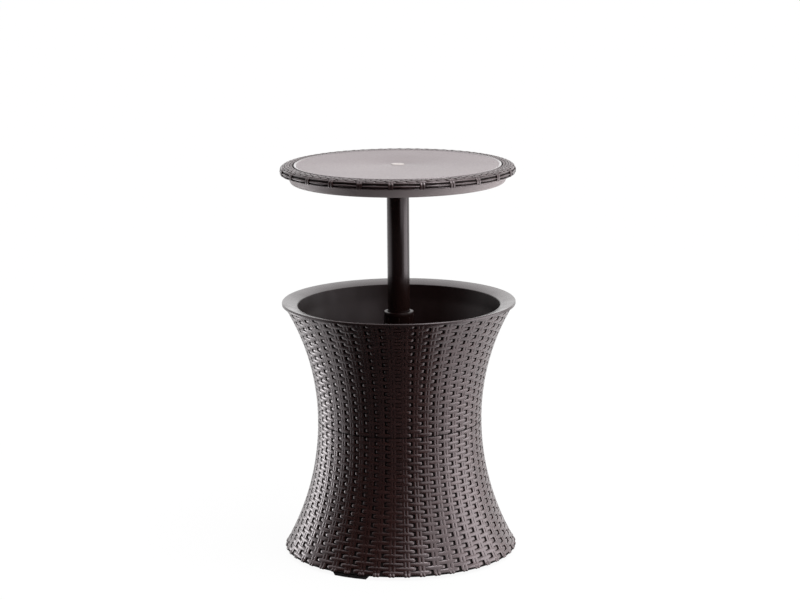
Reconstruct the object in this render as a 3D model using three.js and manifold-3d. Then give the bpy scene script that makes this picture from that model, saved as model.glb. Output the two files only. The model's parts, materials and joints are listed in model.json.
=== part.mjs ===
// Ice bucket coffee table: a waisted, basket-look body holds an open tub for ice, and a round
// table top rises out of it on a telescopic column that a twist collar locks.
// Lengths are in millimetres, +Z is up, the floor is z = 0 and the front faces -Y.
// Azimuths are in degrees from the front, positive towards +X. The table is drawn raised.

import * as THREE from 'three';
import { mergeVertices } from 'three/addons/utils/BufferGeometryUtils.js';
import Module from 'manifold-3d';

const wasm = await Module();
wasm.setup();

// Driving dimensions of the body
const body_radius = 247.5;
const base_flare = 1.5;
const rim_height = 542;
const waist_height = 285;
const waist_radius = 175;
const foot_height = 7;
const shell_wall = 5;
const spigot_wall = 2.5;
const spigot_depth = 14;
const spigot_lead = 10;
const base_flange_width = 27;
const stake_count = 48;
const stake_relief = 1.9;
const stake_azimuth = 2.9;

// Driving dimensions of the tub
const tub_floor_height = 246;
const tub_wall = 3;
const tub_side_gap = 4;
const tub_corner_radius = 12;
const lip_wall = 2.2;
const lip_roof = 3;
const lip_slack = 1.3;
const lip_drop = 9;
const lip_edge = 1.5;
const band_width = 30;
const band_drop = 8;
const mouth_taper = 4;
const ledge_reach = 11;
const ledge_wall = 4;

// Driving dimensions of the column
const tube_radius = 23.5;
const tube_wall = 2;
const tube_overlap = 86;
const guide_gap = 2;
const outer_tube_wall = 2.5;
const collar_height = 519;
const lift = 260;
const key_width = 5;
const key_depth = 0.9;

// Driving dimensions of the table
const table_overhang = 0.5;
const table_thickness = 38;
const lid_reveal = 12;
const lid_taper = 10;
const lid_height = 22.5;
const lid_wall = 3;
const ring_width = 29.7;
const ring_height = 15.2;
const disc_thickness = 4;
const strand_count = 24;
const wrap_relief = 1.6;

// Gaps and overruns that every piece shares
const seat_gap = 0.3;
const slide_gap = 0.3;
const cut_overrun = 5;

// How round each size of turned piece is drawn
const shell_steps = 34;
const table_steps = 34;
const column_steps = 18;
const small_steps = 12;
const screw_steps = 8;
const hexagon_steps = 6;
const arc_steps = 5;
const liner_steps = 3;
const corner_steps = 2;
const ledge_steps = 1;

const quarter_turn = Math.PI / 2;
const full_turn = 2 * Math.PI;
const full_circle = 360;

// Working shapes out from profiles and sections

function radians(azimuth) {
  return THREE.MathUtils.degToRad(azimuth);
}

function polar(radius, azimuth, height = 0) {
  const angle = radians(azimuth);
  return new THREE.Vector3(radius * Math.sin(angle), -radius * Math.cos(angle), height);
}

// A profile of [radius, height] points, turned about +Z into a closed solid.
function turned(profile, steps = shell_steps) {
  const outline = profile.map(([radius, height]) => new THREE.Vector2(radius, height));
  if (THREE.ShapeUtils.isClockWise(outline)) {
    outline.reverse();
  }
  outline.push(outline[0].clone());
  return new THREE.LatheGeometry(outline, steps).rotateX(quarter_turn);
}

// An upright round bar between two heights, on the axis.
function post(radius, low, high, steps = column_steps) {
  const bar = new THREE.CylinderGeometry(radius, radius, high - low, steps);
  return bar.rotateX(quarter_turn).translate(0, 0, (low + high) / 2);
}

// A bar lying along Y between two distances from the axis, at one height.
function crossBar(radius, near, far, height, steps = screw_steps) {
  const bar = new THREE.CylinderGeometry(radius, radius, far - near, steps);
  return bar.translate(0, (near + far) / 2, height);
}

// A block centred on the X and Y given, between two heights.
function block(width, depth, low, high, x = 0, y = 0) {
  return new THREE.BoxGeometry(width, depth, high - low).translate(x, y, (low + high) / 2);
}

// A solid through like-numbered section loops, closed on itself or capped at both ends.
function lofted(loops, closed) {
  const count = loops[0].length;
  const corners = [];
  const last = closed ? loops.length : loops.length - 1;
  for (let i = 0; i < last; i += 1) {
    const here = i * count;
    const next = ((i + 1) % loops.length) * count;
    for (let j = 0; j < count; j += 1) {
      const k = (j + 1) % count;
      corners.push(here + j, next + j, next + k, here + j, next + k, here + k);
    }
  }
  if (!closed) {
    const end = (loops.length - 1) * count;
    for (let j = 1; j < count - 1; j += 1) {
      corners.push(0, j, j + 1, end, end + j + 1, end + j);
    }
  }
  const geometry = new THREE.BufferGeometry().setFromPoints(loops.flat());
  geometry.setIndex(corners);
  return geometry;
}

// Cutting and joining

function welded(geometry) {
  const bare = geometry.clone();
  bare.deleteAttribute('normal');
  bare.deleteAttribute('uv');
  const merged = mergeVertices(bare);
  const all = Array.from(merged.index.array);
  const kept = [];
  for (let i = 0; i < all.length; i += 3) {
    const [a, b, c] = all.slice(i, i + 3);
    if (a !== b && b !== c && c !== a) {
      kept.push(a, b, c);
    }
  }
  merged.setIndex(kept);
  return merged;
}

function asSolid(geometry) {
  const merged = welded(geometry);
  return new wasm.Manifold(new wasm.Mesh({
    numProp: 3,
    vertProperties: merged.attributes.position.array,
    triVerts: Uint32Array.from(merged.index.array),
  }));
}

function asGeometry(solid) {
  const mesh = solid.getMesh();
  const geometry = new THREE.BufferGeometry();
  geometry.setAttribute('position', new THREE.BufferAttribute(mesh.vertProperties, mesh.numProp));
  geometry.setIndex(new THREE.BufferAttribute(mesh.triVerts, 1));
  return geometry;
}

function cut(geometry, ...tools) {
  return asGeometry(tools.reduce((solid, tool) => solid.subtract(asSolid(tool)), asSolid(geometry)));
}

function joined(geometry, ...others) {
  return asGeometry(others.reduce((solid, other) => solid.add(asSolid(other)), asSolid(geometry)));
}

// Finishes of the real pieces

function finish(color, roughness, metalness = 0) {
  return { color, roughness, metalness };
}

const finishes = {
  woven: finish(0x4a3f3d, 0.45),
  smooth: finish(0x4b4140, 0.35),
  tub: finish(0x2a2220, 0.35),
  column: finish(0x2b2321, 0.25),
  disc: finish(0x6f6261, 0.6),
  cap: finish(0xa89d9a, 0.45),
  foot: finish(0x1b1817, 0.7),
  rubber: finish(0x181818, 0.85),
  inner: finish(0x3a3534, 0.5),
  steel: finish(0xb9babb, 0.35, 1),
};

function piece(name, geometry, look) {
  const mesh = new THREE.Mesh(geometry, new THREE.MeshStandardMaterial(look));
  mesh.name = name;
  return mesh;
}

// Screws: a head that stands on local z = 0 with its shank below
const screw_head_radius = 5;
const screw_head_height = 3;
const screw_shank_radius = 2.2;
const screw_hole_gap = 0.25;

function screw(length) {
  return turned([
    [0, -length],
    [screw_shank_radius, -length],
    [screw_shank_radius, 0],
    [screw_head_radius, 0],
    [screw_head_radius, screw_head_height],
    [0, screw_head_height],
  ], screw_steps);
}

// Grub screws: headless, lying along Y, pressed through a hub into the tube that it holds
const grub_radius = 2;
const grub_bite = 1.6;
const grub_tail = 3.2;

function grubScrew(near, far) {
  return crossBar(grub_radius, near, far, 0);
}

// The body's curve: one arc above the waist and one below, both upright at the waist

const rim_radius = body_radius;
const base_radius = body_radius + base_flare;
const shell_top = rim_height - lip_roof - lip_edge - seat_gap;
const shell_top_radius = rim_radius - lip_wall - lip_slack;

function arcRadius(rise, spread) {
  return (rise * rise + spread * spread) / (2 * spread);
}

const upper_arc = arcRadius(shell_top - waist_height, shell_top_radius - waist_radius);
const lower_arc = arcRadius(waist_height - foot_height, base_radius - waist_radius);

// Radius of the body's curve at a height, moved in by an inset.
function bodyRadius(height, inset = 0) {
  const arc = height >= waist_height ? upper_arc : lower_arc;
  const rise = height - waist_height;
  return waist_radius + arc - Math.sqrt((arc + inset) ** 2 - rise ** 2);
}

// Height at which the upper curve, moved in by an inset, reaches a radius.
function bodyHeight(radius, inset) {
  return waist_height + Math.sqrt((upper_arc + inset) ** 2 - (waist_radius + upper_arc - radius) ** 2);
}

function bodyCurve(from, to, inset = 0, steps = arc_steps) {
  return Array.from({ length: steps + 1 }, (_, i) => {
    const height = from + ((to - from) * i) / steps;
    return [bodyRadius(height, inset), height];
  });
}

// Shells of the body: the upper one's spigot drops into the lower one at the waist

const spigot_inset = shell_wall + seat_gap;
const spigot_radius = waist_radius - spigot_inset;
const spigot_bore = spigot_radius - spigot_wall;

// Solid body between two heights of the curve, pleated so that each stake stands out as a rib.
function stakedBody(low, high) {
  const step = full_circle / (2 * stake_count);
  const loops = Array.from({ length: 2 * stake_count }, (_, i) => {
    const relief = i % 2 ? stake_relief : 0;
    const section = [[0, low], ...bodyCurve(low, high, relief), [0, high]];
    return section.map(([radius, height]) => polar(radius, stake_azimuth + i * step, height));
  });
  return lofted(loops, true);
}

function upperShell() {
  const spigot_low = waist_height - spigot_depth;
  const spigot_top = waist_height + spigot_lead;
  const spigot = turned([
    [0, spigot_low],
    [spigot_radius, spigot_low],
    [spigot_radius, spigot_top],
    [0, spigot_top],
  ]);
  const hollow = turned([
    [0, spigot_low - cut_overrun],
    [spigot_bore, spigot_low - cut_overrun],
    [spigot_bore, spigot_top],
    ...bodyCurve(spigot_top, shell_top, shell_wall, liner_steps),
    [bodyRadius(shell_top, shell_wall), shell_top + cut_overrun],
    [0, shell_top + cut_overrun],
  ]);
  return cut(joined(stakedBody(waist_height, shell_top), spigot), hollow);
}

const tub_inset = shell_wall + seat_gap + spigot_wall + tub_side_gap;
const tub_base_radius = waist_radius - tub_inset;
const ledge_top = tub_floor_height - tub_wall - seat_gap;
const ledge_bottom = ledge_top - ledge_wall;
const ledge_bore = tub_base_radius - ledge_reach;
const flange_top = foot_height + shell_wall;
const flange_bore = base_radius - base_flange_width;

// Feet: arc-shaped pads, their ends chamfered towards the floor
const foot_azimuths = [-25.6, 94.4, 214.4];
const foot_half_angle = 9.5;
const foot_chamfer_angle = 1.1;
const foot_inset = 2.5;
const foot_width = 21;
const foot_screw_angle = 5.5;
const foot_screw_length = 7;
const foot_screw_sink = 0.4;
const foot_steps = 3;
const foot_middle_radius = base_radius - foot_inset - foot_width / 2;
const foot_screw_seat = screw_head_height + foot_screw_sink;
const foot_screw_places = [-foot_screw_angle, foot_screw_angle].map((azimuth) => (
  polar(foot_middle_radius, azimuth)
));

// Holes for the two screws of a foot that faces the front.
function footHoles(radius, low, high) {
  return foot_screw_places.map((place) => post(radius, low, high, screw_steps).translate(...place));
}

function lowerShell() {
  const top = waist_height - seat_gap;
  const hollow = turned([
    [0, foot_height - cut_overrun],
    [flange_bore, foot_height - cut_overrun],
    [flange_bore, flange_top],
    ...bodyCurve(flange_top, ledge_bottom, shell_wall, liner_steps),
    [ledge_bore, ledge_bottom],
    [ledge_bore, ledge_top],
    ...bodyCurve(ledge_top, top, shell_wall, ledge_steps),
    [bodyRadius(top, shell_wall), top + cut_overrun],
    [0, top + cut_overrun],
  ]);
  const holes = foot_azimuths.flatMap((azimuth) => {
    const radius = screw_shank_radius + screw_hole_gap;
    const pair = footHoles(radius, foot_height - cut_overrun, flange_top + cut_overrun);
    return pair.map((hole) => hole.rotateZ(radians(azimuth)));
  });
  return cut(stakedBody(foot_height, top), hollow, ...holes);
}

function footPad() {
  const top = foot_height - seat_gap;
  const inner = foot_middle_radius - foot_width / 2;
  const outer = foot_middle_radius + foot_width / 2;
  const low_half_angle = foot_half_angle - foot_chamfer_angle;
  const loops = Array.from({ length: foot_steps + 1 }, (_, i) => {
    const share = (2 * i) / foot_steps - 1;
    return [
      polar(inner, share * low_half_angle, 0),
      polar(outer, share * low_half_angle, 0),
      polar(outer, share * foot_half_angle, top),
      polar(inner, share * foot_half_angle, top),
    ];
  });
  const shanks = footHoles(screw_shank_radius + screw_hole_gap, -cut_overrun, top + cut_overrun);
  const heads = footHoles(screw_head_radius + screw_hole_gap, -cut_overrun, foot_screw_seat);
  return cut(lofted(loops, false), ...shanks, ...heads);
}

// Tub: a lip that hooks over the upper shell, a sloped rim band, and a curved wall down to the floor

const lip_bore = rim_radius - lip_wall;
const band_outer = rim_radius - lip_edge;
const mouth_radius = band_outer - band_width;
const band_low = rim_height - band_drop;
const lip_seat = rim_height - lip_roof - lip_edge;
const tub_joint_height = bodyHeight(mouth_radius - mouth_taper + tub_wall, tub_inset);

// Fixed tube of the column, which the tub floor and the drain are drilled round
const outer_bore = tube_radius + guide_gap;
const outer_radius = outer_bore + outer_tube_wall;
const hub_bore = outer_radius + seat_gap;

const drain_offset = 105;
const drain_azimuth = 180;
const drain_stem_radius = 11.6;
const drain_bore = 8;
const drain_flange_radius = 17;
const drain_flange_wall = 2.5;
const gasket_thickness = 1.5;
const drain_stem_drop = 24;

const flange_screw_count = 4;
const flange_screw_circle = 47;
const flange_screw_start = 45;

function ringOfHoles(low, high) {
  return Array.from({ length: flange_screw_count }, (_, i) => {
    const azimuth = flange_screw_start + (full_circle * i) / flange_screw_count;
    const hole = post(screw_shank_radius + screw_hole_gap, low, high, screw_steps);
    return hole.translate(...polar(flange_screw_circle, azimuth));
  });
}

function roundedFloorCorner(wall_radius, floor, corner) {
  return Array.from({ length: corner_steps + 1 }, (_, i) => {
    const angle = (quarter_turn * i) / corner_steps;
    return [
      wall_radius - corner + corner * Math.cos(angle),
      floor + corner - corner * Math.sin(angle),
    ];
  });
}

function tub() {
  const inner_inset = tub_inset + tub_wall;
  const floor_under = tub_floor_height - tub_wall;
  const outside = [
    ...bodyCurve(tub_joint_height, waist_height, tub_inset, liner_steps),
    ...roundedFloorCorner(tub_base_radius, floor_under, tub_corner_radius),
  ];
  const inner_corner = tub_corner_radius - tub_wall;
  const inside = [
    ...roundedFloorCorner(tub_base_radius - tub_wall, tub_floor_height, inner_corner).reverse(),
    ...bodyCurve(waist_height, tub_joint_height, inner_inset, liner_steps),
  ];
  const shape = turned([
    [hub_bore, tub_floor_height],
    ...inside,
    [mouth_radius, band_low],
    [band_outer, rim_height],
    [rim_radius, rim_height - lip_edge],
    [rim_radius, rim_height - lip_drop],
    [lip_bore, rim_height - lip_drop],
    [lip_bore, lip_seat],
    [lip_bore - shell_wall - lip_roof, lip_seat],
    [mouth_radius + tub_wall, band_low - lip_roof],
    ...outside,
    [hub_bore, floor_under],
  ]);
  const low = floor_under - cut_overrun;
  const high = tub_floor_height + cut_overrun;
  const drain = post(drain_stem_radius + seat_gap, low, high, small_steps);
  return cut(shape, drain.translate(...polar(drain_offset, drain_azimuth)), ...ringOfHoles(low, high));
}

// Drain: fitting, gasket, nut and lift-out plug, drawn about their own axis
const nut_height = 8;
const nut_radius = 17;
const plug_stem_radius = 7.4;
const plug_stem_length = 12;
const plug_head_radius = 13;
const plug_head_height = 3.5;
const plug_tab_width = 16;
const plug_tab_wall = 3;
const plug_tab_height = 14;
const plug_tab_hole = 3.6;

const floor_top = tub_floor_height;
const gasket_low = floor_top + seat_gap;
const gasket_high = gasket_low + gasket_thickness;
const drain_flange_low = gasket_high + seat_gap;
const drain_flange_high = drain_flange_low + drain_flange_wall;

function drainFitting() {
  return turned([
    [drain_bore, drain_flange_high],
    [drain_bore, floor_top - drain_stem_drop],
    [drain_stem_radius, floor_top - drain_stem_drop],
    [drain_stem_radius, drain_flange_low],
    [drain_flange_radius, drain_flange_low],
    [drain_flange_radius, drain_flange_high],
  ], small_steps);
}

function washer(bore, radius, low, high, steps = column_steps) {
  return turned([[bore, low], [radius, low], [radius, high], [bore, high]], steps);
}

function drainNut() {
  const high = floor_top - tub_wall - seat_gap;
  const hexagon = new THREE.CylinderGeometry(nut_radius, nut_radius, nut_height, hexagon_steps);
  hexagon.rotateX(quarter_turn).translate(0, 0, high - nut_height / 2);
  const low = high - nut_height;
  const bore = post(drain_stem_radius + seat_gap, low - cut_overrun, high + cut_overrun, small_steps);
  return cut(hexagon, bore);
}

function drainPlug() {
  const seat = drain_flange_high + seat_gap;
  const head = seat + plug_head_height;
  const body = turned([
    [0, seat - plug_stem_length],
    [plug_stem_radius, seat - plug_stem_length],
    [plug_stem_radius, seat],
    [plug_head_radius, seat],
    [plug_head_radius, head],
    [0, head],
  ], small_steps);
  const tab = block(plug_tab_width, plug_tab_wall, head - plug_tab_wall, head + plug_tab_height);
  const hole = crossBar(plug_tab_hole, -plug_tab_width, plug_tab_width, head + plug_tab_height / 2);
  return cut(joined(body, tab), hole);
}

// Column: fixed outer tube with its foot flange, gasket, backing plate and end cap
const collar_bead_height = 10;
const collar_top_wall = 2;
const collet_head_height = 10;
const collet_sleeve = 26;
const collet_slit_count = 6;
const collet_slit_width = 1.6;
const collet_wall = guide_gap - slide_gap - seat_gap;
const collar_ceiling = collar_height - collar_top_wall;
const collet_top = collar_ceiling - seat_gap;
const collet_shoulder = collet_top - collet_head_height;
const outer_tube_top = collet_shoulder - seat_gap;
const collet_bottom = outer_tube_top - collet_sleeve;

const tube_bottom = outer_tube_top - tube_overlap;
const glide_foot = 8;
const glide_floor = 4;
const glide_low = tube_bottom - glide_foot;
const glide_high = collet_bottom - seat_gap;
const end_clearance = 6;
const end_wall = 4;
const end_skirt = 14;
const outer_tube_bottom = glide_low - lift - end_clearance;

const foot_flange_radius = 60;
const foot_flange_wall = 4;
const foot_hub_wall = 5;
const foot_hub_height = 30;
const foot_grub_drop = 10;
const back_plate_wall = 8;
const foot_flange_low = gasket_high + seat_gap;
const foot_flange_high = foot_flange_low + foot_flange_wall;
const hub_high = foot_flange_low + foot_hub_height;
const foot_grub_height = hub_high - foot_grub_drop;

const foot_grub_near = outer_radius - grub_bite;
const foot_grub_far = hub_bore + foot_hub_wall;

function grubHoles(near, far, height) {
  const radius = grub_radius + screw_hole_gap;
  return [crossBar(radius, near, far, height), crossBar(radius, -far, -near, height)];
}

function outerTube() {
  const wall = washer(outer_bore, outer_radius, outer_tube_bottom, outer_tube_top);
  const low = outer_tube_bottom;
  const high = collet_bottom - seat_gap;
  const reach = key_depth + outer_tube_wall / 2;
  const middle = outer_bore - key_depth + reach / 2;
  const keys = [-middle, middle].map((x) => block(reach, key_width, low, high, x));
  const holes = grubHoles(foot_grub_near - seat_gap, foot_grub_far, foot_grub_height);
  return cut(joined(wall, ...keys), ...holes);
}

function footFlange() {
  const shape = turned([
    [hub_bore, foot_flange_low],
    [foot_flange_radius, foot_flange_low],
    [foot_flange_radius, foot_flange_high],
    [hub_bore + foot_hub_wall, foot_flange_high],
    [hub_bore + foot_hub_wall, hub_high],
    [hub_bore, hub_high],
  ], column_steps);
  const screws = ringOfHoles(foot_flange_low - cut_overrun, foot_flange_high + cut_overrun);
  const grubs = grubHoles(hub_bore - cut_overrun, foot_grub_far + cut_overrun, foot_grub_height);
  return cut(shape, ...screws, ...grubs);
}

function drilledWasher(low, high) {
  const shape = washer(hub_bore, foot_flange_radius, low, high);
  return cut(shape, ...ringOfHoles(low - cut_overrun, high + cut_overrun));
}

function endCap() {
  const low = outer_tube_bottom - seat_gap - end_wall;
  return turned([
    [0, low],
    [hub_bore + tube_wall, low],
    [hub_bore + tube_wall, low + end_skirt],
    [hub_bore, low + end_skirt],
    [hub_bore, low + end_wall],
    [0, low + end_wall],
  ], column_steps);
}

// Collet: a split sleeve in the tube's mouth, its cone squeezed by the collar
const collet_head_wall = 3.6;
const collet_tip_wall = 2;
const collet_bore = tube_radius + slide_gap;
const cone_height = 6;
const cone_low = collet_top - cone_height;

function collet() {
  const shape = turned([
    [collet_bore, collet_bottom],
    [collet_bore + collet_wall, collet_bottom],
    [collet_bore + collet_wall, collet_shoulder],
    [collet_bore + collet_head_wall, collet_shoulder],
    [collet_bore + collet_head_wall, cone_low],
    [collet_bore + collet_tip_wall, collet_top],
    [collet_bore, collet_top],
  ], column_steps);
  const high = collet_top + cut_overrun;
  const slits = Array.from({ length: collet_slit_count }, (_, i) => {
    const slit = block(collet_slit_width, outer_radius, collet_shoulder, high, 0, outer_radius / 2);
    return slit.rotateZ((full_turn * i) / collet_slit_count + quarter_turn / 2);
  });
  return cut(shape, ...slits);
}

// Twist collar: screwed over the tube's mouth, with a bead on top and grips on its skirt
const collar_bead_radius = 31.5;
const collar_skirt_wall = 1.9;
const collar_thread_gap = 0.5;
const collar_cone_gap = 0.6;
const collar_mouth_gap = 0.9;
const collar_skirt_height = 40;
const collar_edge = 1.2;
const grip_count = 8;
const grip_radius = 1.3;
const grip_steps = 6;

function twistCollar() {
  const bore = outer_radius + collar_thread_gap;
  const skirt = bore + collar_skirt_wall;
  const low = collar_height - collar_skirt_height;
  const bead_low = collar_height - collar_bead_height;
  const shape = turned([
    [tube_radius + collar_mouth_gap, collar_ceiling],
    [tube_radius + collar_mouth_gap, collar_height],
    [collar_bead_radius - collar_edge, collar_height],
    [collar_bead_radius, collar_height - collar_edge],
    [collar_bead_radius, bead_low],
    [skirt, bead_low - collar_edge],
    [skirt, low],
    [bore, low],
    [bore, cone_low],
    [collet_bore + collet_tip_wall + collar_cone_gap, collar_ceiling],
  ], column_steps);
  const grips = Array.from({ length: grip_count }, (_, i) => {
    const grip = post(grip_radius, low + collar_edge, bead_low, grip_steps);
    return grip.translate(...polar(skirt, (full_circle * i) / grip_count));
  });
  return joined(shape, ...grips);
}

// Moving tube with the keyed glide sleeve and its pin
const lid_edge = 3;
const table_radius = body_radius + table_overhang;
const lid_top_radius = table_radius - lid_reveal;
const lid_radius = lid_top_radius - lid_taper;
const lid_seat_radius = lid_radius - lid_edge;
const seat_height = band_low + (band_drop * (lid_seat_radius - mouth_radius)) / band_width + seat_gap;
const table_base = seat_height + lift;
const socket_height = 22;
const tube_top = table_base + socket_height;
const pin_radius = 2;
const pin_rise = 12;
const pin_sink = 0.3;

function pinHole(height) {
  return crossBar(pin_radius + screw_hole_gap, -outer_radius, outer_radius, height);
}

const socket_grub_rise = 13;
const socket_wall = 5;
const socket_bore = tube_radius + slide_gap;
const socket_grub_near = tube_radius - tube_wall - grub_tail;
const socket_grub_far = socket_bore + socket_wall;

function movingTube() {
  const wall = washer(tube_radius - tube_wall, tube_radius, tube_bottom, tube_top);
  const grubs = grubHoles(socket_grub_near, socket_grub_far, table_base + socket_grub_rise);
  return cut(wall, pinHole(tube_bottom + pin_rise), ...grubs);
}

function glideSleeve() {
  const bore = tube_radius + slide_gap;
  const radius = outer_bore - slide_gap;
  const shape = turned([
    [0, glide_low],
    [radius, glide_low],
    [radius, glide_high],
    [bore, glide_high],
    [bore, tube_bottom - seat_gap],
    [tube_radius - tube_wall, tube_bottom - seat_gap],
    [tube_radius - tube_wall, glide_low + glide_floor],
    [0, glide_low + glide_floor],
  ], column_steps);
  const depth = key_depth + cut_overrun;
  const middle = outer_bore - key_depth - slide_gap + depth / 2;
  const width = key_width + 2 * slide_gap;
  const keyways = [-middle, middle].map((x) => (
    block(depth, width, glide_low - cut_overrun, glide_high + cut_overrun, x)
  ));
  return cut(shape, ...keyways, pinHole(tube_bottom + pin_rise));
}

function glidePin() {
  const reach = outer_bore - slide_gap - pin_sink;
  return crossBar(pin_radius, -reach, reach, tube_bottom + pin_rise);
}

// Table: everything below is drawn from the lid's underside at local z = 0
const lid_rib_sink = 0.5;
const rib_count = 8;
const rib_wall = 3;
const rib_height = 14;
const ring_low = lid_height + seat_gap;
const ring_wall = 4;
const ring_ceiling = table_thickness - ring_wall;
const lid_lip_top = ring_ceiling - seat_gap;
const disc_radius = table_radius - ring_width;
const disc_sink = 2;
const disc_top = table_thickness - disc_sink;
const disc_low = disc_top - disc_thickness;
const socket_flange_radius = 60;
const socket_flange_wall = 4;
const socket_flange_low = lid_wall + seat_gap;
const socket_flange_high = socket_flange_low + socket_flange_wall;

function tableLid() {
  const dish = turned([
    [socket_bore, 0],
    [lid_seat_radius, 0],
    [lid_radius, lid_edge],
    [lid_top_radius, lid_height],
    [lid_top_radius, lid_lip_top],
    [lid_top_radius - lid_wall, lid_lip_top],
    [lid_top_radius - lid_wall, lid_height],
    [lid_radius - lid_wall, lid_edge + lid_wall],
    [lid_seat_radius - lid_wall, lid_wall],
    [socket_bore, lid_wall],
  ], table_steps);
  const inner = socket_flange_radius + seat_gap;
  const outer = lid_radius - lid_wall / 2;
  const ribs = Array.from({ length: rib_count }, (_, i) => {
    const rib = block(rib_wall, outer - inner, lid_wall - lid_rib_sink, rib_height, 0, (outer + inner) / 2);
    return rib.rotateZ((full_turn * i) / rib_count);
  });
  const screws = ringOfHoles(-cut_overrun, lid_wall + cut_overrun);
  return cut(joined(dish, ...ribs), ...screws);
}

function columnSocket() {
  const hub = socket_bore + socket_wall;
  const top = socket_height - seat_gap;
  const shape = turned([
    [socket_bore, socket_flange_low],
    [socket_flange_radius, socket_flange_low],
    [socket_flange_radius, socket_flange_high],
    [hub, socket_flange_high],
    [hub, top],
    [socket_bore, top],
  ], column_steps);
  const screws = ringOfHoles(socket_flange_low - cut_overrun, socket_flange_high + cut_overrun);
  const grubs = grubHoles(socket_bore - cut_overrun, hub + cut_overrun, socket_grub_rise);
  return cut(shape, ...screws, ...grubs);
}

// Table disc with a beaded edge and a hub that the centre bolt clamps
const bead_width = 3.5;
const bead_height = 1.2;
const bead_slope = 1.4;
const disc_hub_radius = 20;
const disc_hub_drop = 6;
const cap_radius = 14;
const cap_recess = 4.3;
const bolt_radius = 4;
const bolt_head_radius = 7.5;
const bolt_head_height = 2.8;
const bolt_length = 32;
const bolt_hole = bolt_radius + screw_hole_gap;
const disc_hub_low = disc_low - disc_hub_drop;
const cap_seat = disc_top - cap_recess;

function tableDisc() {
  return turned([
    [bolt_hole, disc_hub_low],
    [disc_hub_radius, disc_hub_low],
    [disc_hub_radius, disc_low],
    [disc_radius - seat_gap, disc_low],
    [disc_radius - seat_gap, disc_top + bead_height],
    [disc_radius - bead_width, disc_top + bead_height],
    [disc_radius - bead_width - bead_slope, disc_top],
    [cap_radius + seat_gap, disc_top],
    [cap_radius + seat_gap, cap_seat],
    [bolt_hole, cap_seat],
  ], table_steps);
}

const cap_rise = 1;
const cap_hollow_radius = 9;
const cap_crown = 1.2;
const cap_dimple_radius = 4;
const cap_dimple_depth = 0.7;

function centreCap() {
  const low = cap_seat + seat_gap;
  const top = disc_top + cap_rise;
  const ceiling = top - cap_dimple_depth - cap_crown;
  return turned([
    [cap_hollow_radius, low],
    [cap_radius, low],
    [cap_radius, top - cap_dimple_depth],
    [cap_radius - cap_dimple_depth, top],
    [cap_dimple_radius, top],
    [cap_dimple_radius - cap_dimple_depth, top - cap_dimple_depth],
    [0, top - cap_dimple_depth],
    [0, ceiling],
    [cap_hollow_radius, ceiling],
  ], small_steps);
}

function centreBolt() {
  const seat = cap_seat + seat_gap;
  return turned([
    [0, seat - bolt_length],
    [bolt_radius, seat - bolt_length],
    [bolt_radius, seat],
    [bolt_head_radius, seat],
    [bolt_head_radius, seat + bolt_head_height],
    [0, seat + bolt_head_height],
  ], small_steps);
}

// Plug that fills the top of the moving tube, for the centre bolt to pull on
const plug_depth = 30;

function topPlug() {
  const stem = tube_radius - tube_wall - seat_gap;
  const shape = turned([
    [bolt_hole, socket_height - plug_depth],
    [stem, socket_height - plug_depth],
    [stem, socket_height + seat_gap],
    [tube_radius, socket_height + seat_gap],
    [tube_radius, disc_hub_low - seat_gap],
    [bolt_hole, disc_hub_low - seat_gap],
  ], column_steps);
  const near = socket_grub_near - seat_gap;
  return cut(shape, ...grubHoles(near, socket_grub_far, socket_grub_rise));
}

// Woven-look ring: an inverted channel, drawn in between the wraps at every strand
const wrap_half_share = 0.13;
const strand_middle_share = 0.5;
const wrap_phase = -3.4;
const ring_skirt_wall = 5;
const ring_inner_wall = 4;
const ring_ledge_reach = 7;
const ring_ledge_wall = 3;
const ring_inner_drop = 2;
const ring_shoulder_share = 0.34;

// Section of the ring, flat in [radius, height], drawn in by a relief outside and on top.
function ringSection(relief) {
  const outer = table_radius - relief;
  const top = table_thickness - relief / 2;
  const shoulder = ring_width * ring_shoulder_share;
  const ledge_high = disc_low - seat_gap;
  return [
    [table_radius - ring_skirt_wall, ring_low],
    [outer - relief, ring_low],
    [outer, ring_low + ring_height * ring_shoulder_share],
    [outer, ring_low + ring_height * (1 - ring_shoulder_share)],
    [table_radius - shoulder, top],
    [disc_radius, table_thickness - ring_inner_drop],
    [disc_radius, ledge_high],
    [disc_radius - ring_ledge_reach, ledge_high],
    [disc_radius - ring_ledge_reach, ledge_high - ring_ledge_wall],
    [disc_radius + ring_inner_wall, ledge_high - ring_ledge_wall],
    [disc_radius + ring_inner_wall, ring_ceiling],
    [table_radius - ring_skirt_wall, ring_ceiling],
  ];
}

function wovenRing() {
  const pitch = full_circle / strand_count;
  const stations = [
    [-wrap_half_share, 0],
    [wrap_half_share, 0],
    [strand_middle_share, wrap_relief],
  ];
  const loops = Array.from({ length: strand_count }, (_, i) => (
    stations.map(([share, relief]) => {
      const azimuth = wrap_phase + (i + share) * pitch;
      return ringSection(relief).map(([radius, height]) => polar(radius, azimuth, height));
    })
  )).flat();
  return lofted(loops, true);
}

// Assembling the groups

function buildBody() {
  const body = new THREE.Group();
  body.add(piece('upper_body_shell', upperShell(), finishes.woven));
  body.add(piece('lower_body_shell', lowerShell(), finishes.woven));
  body.add(piece('inner_tub', tub(), finishes.tub));
  const pad = footPad();
  const fastener = screw(foot_screw_length);
  foot_azimuths.forEach((azimuth, i) => body.add(buildFoot(pad, fastener, azimuth, i + 1)));
  return body;
}

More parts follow.
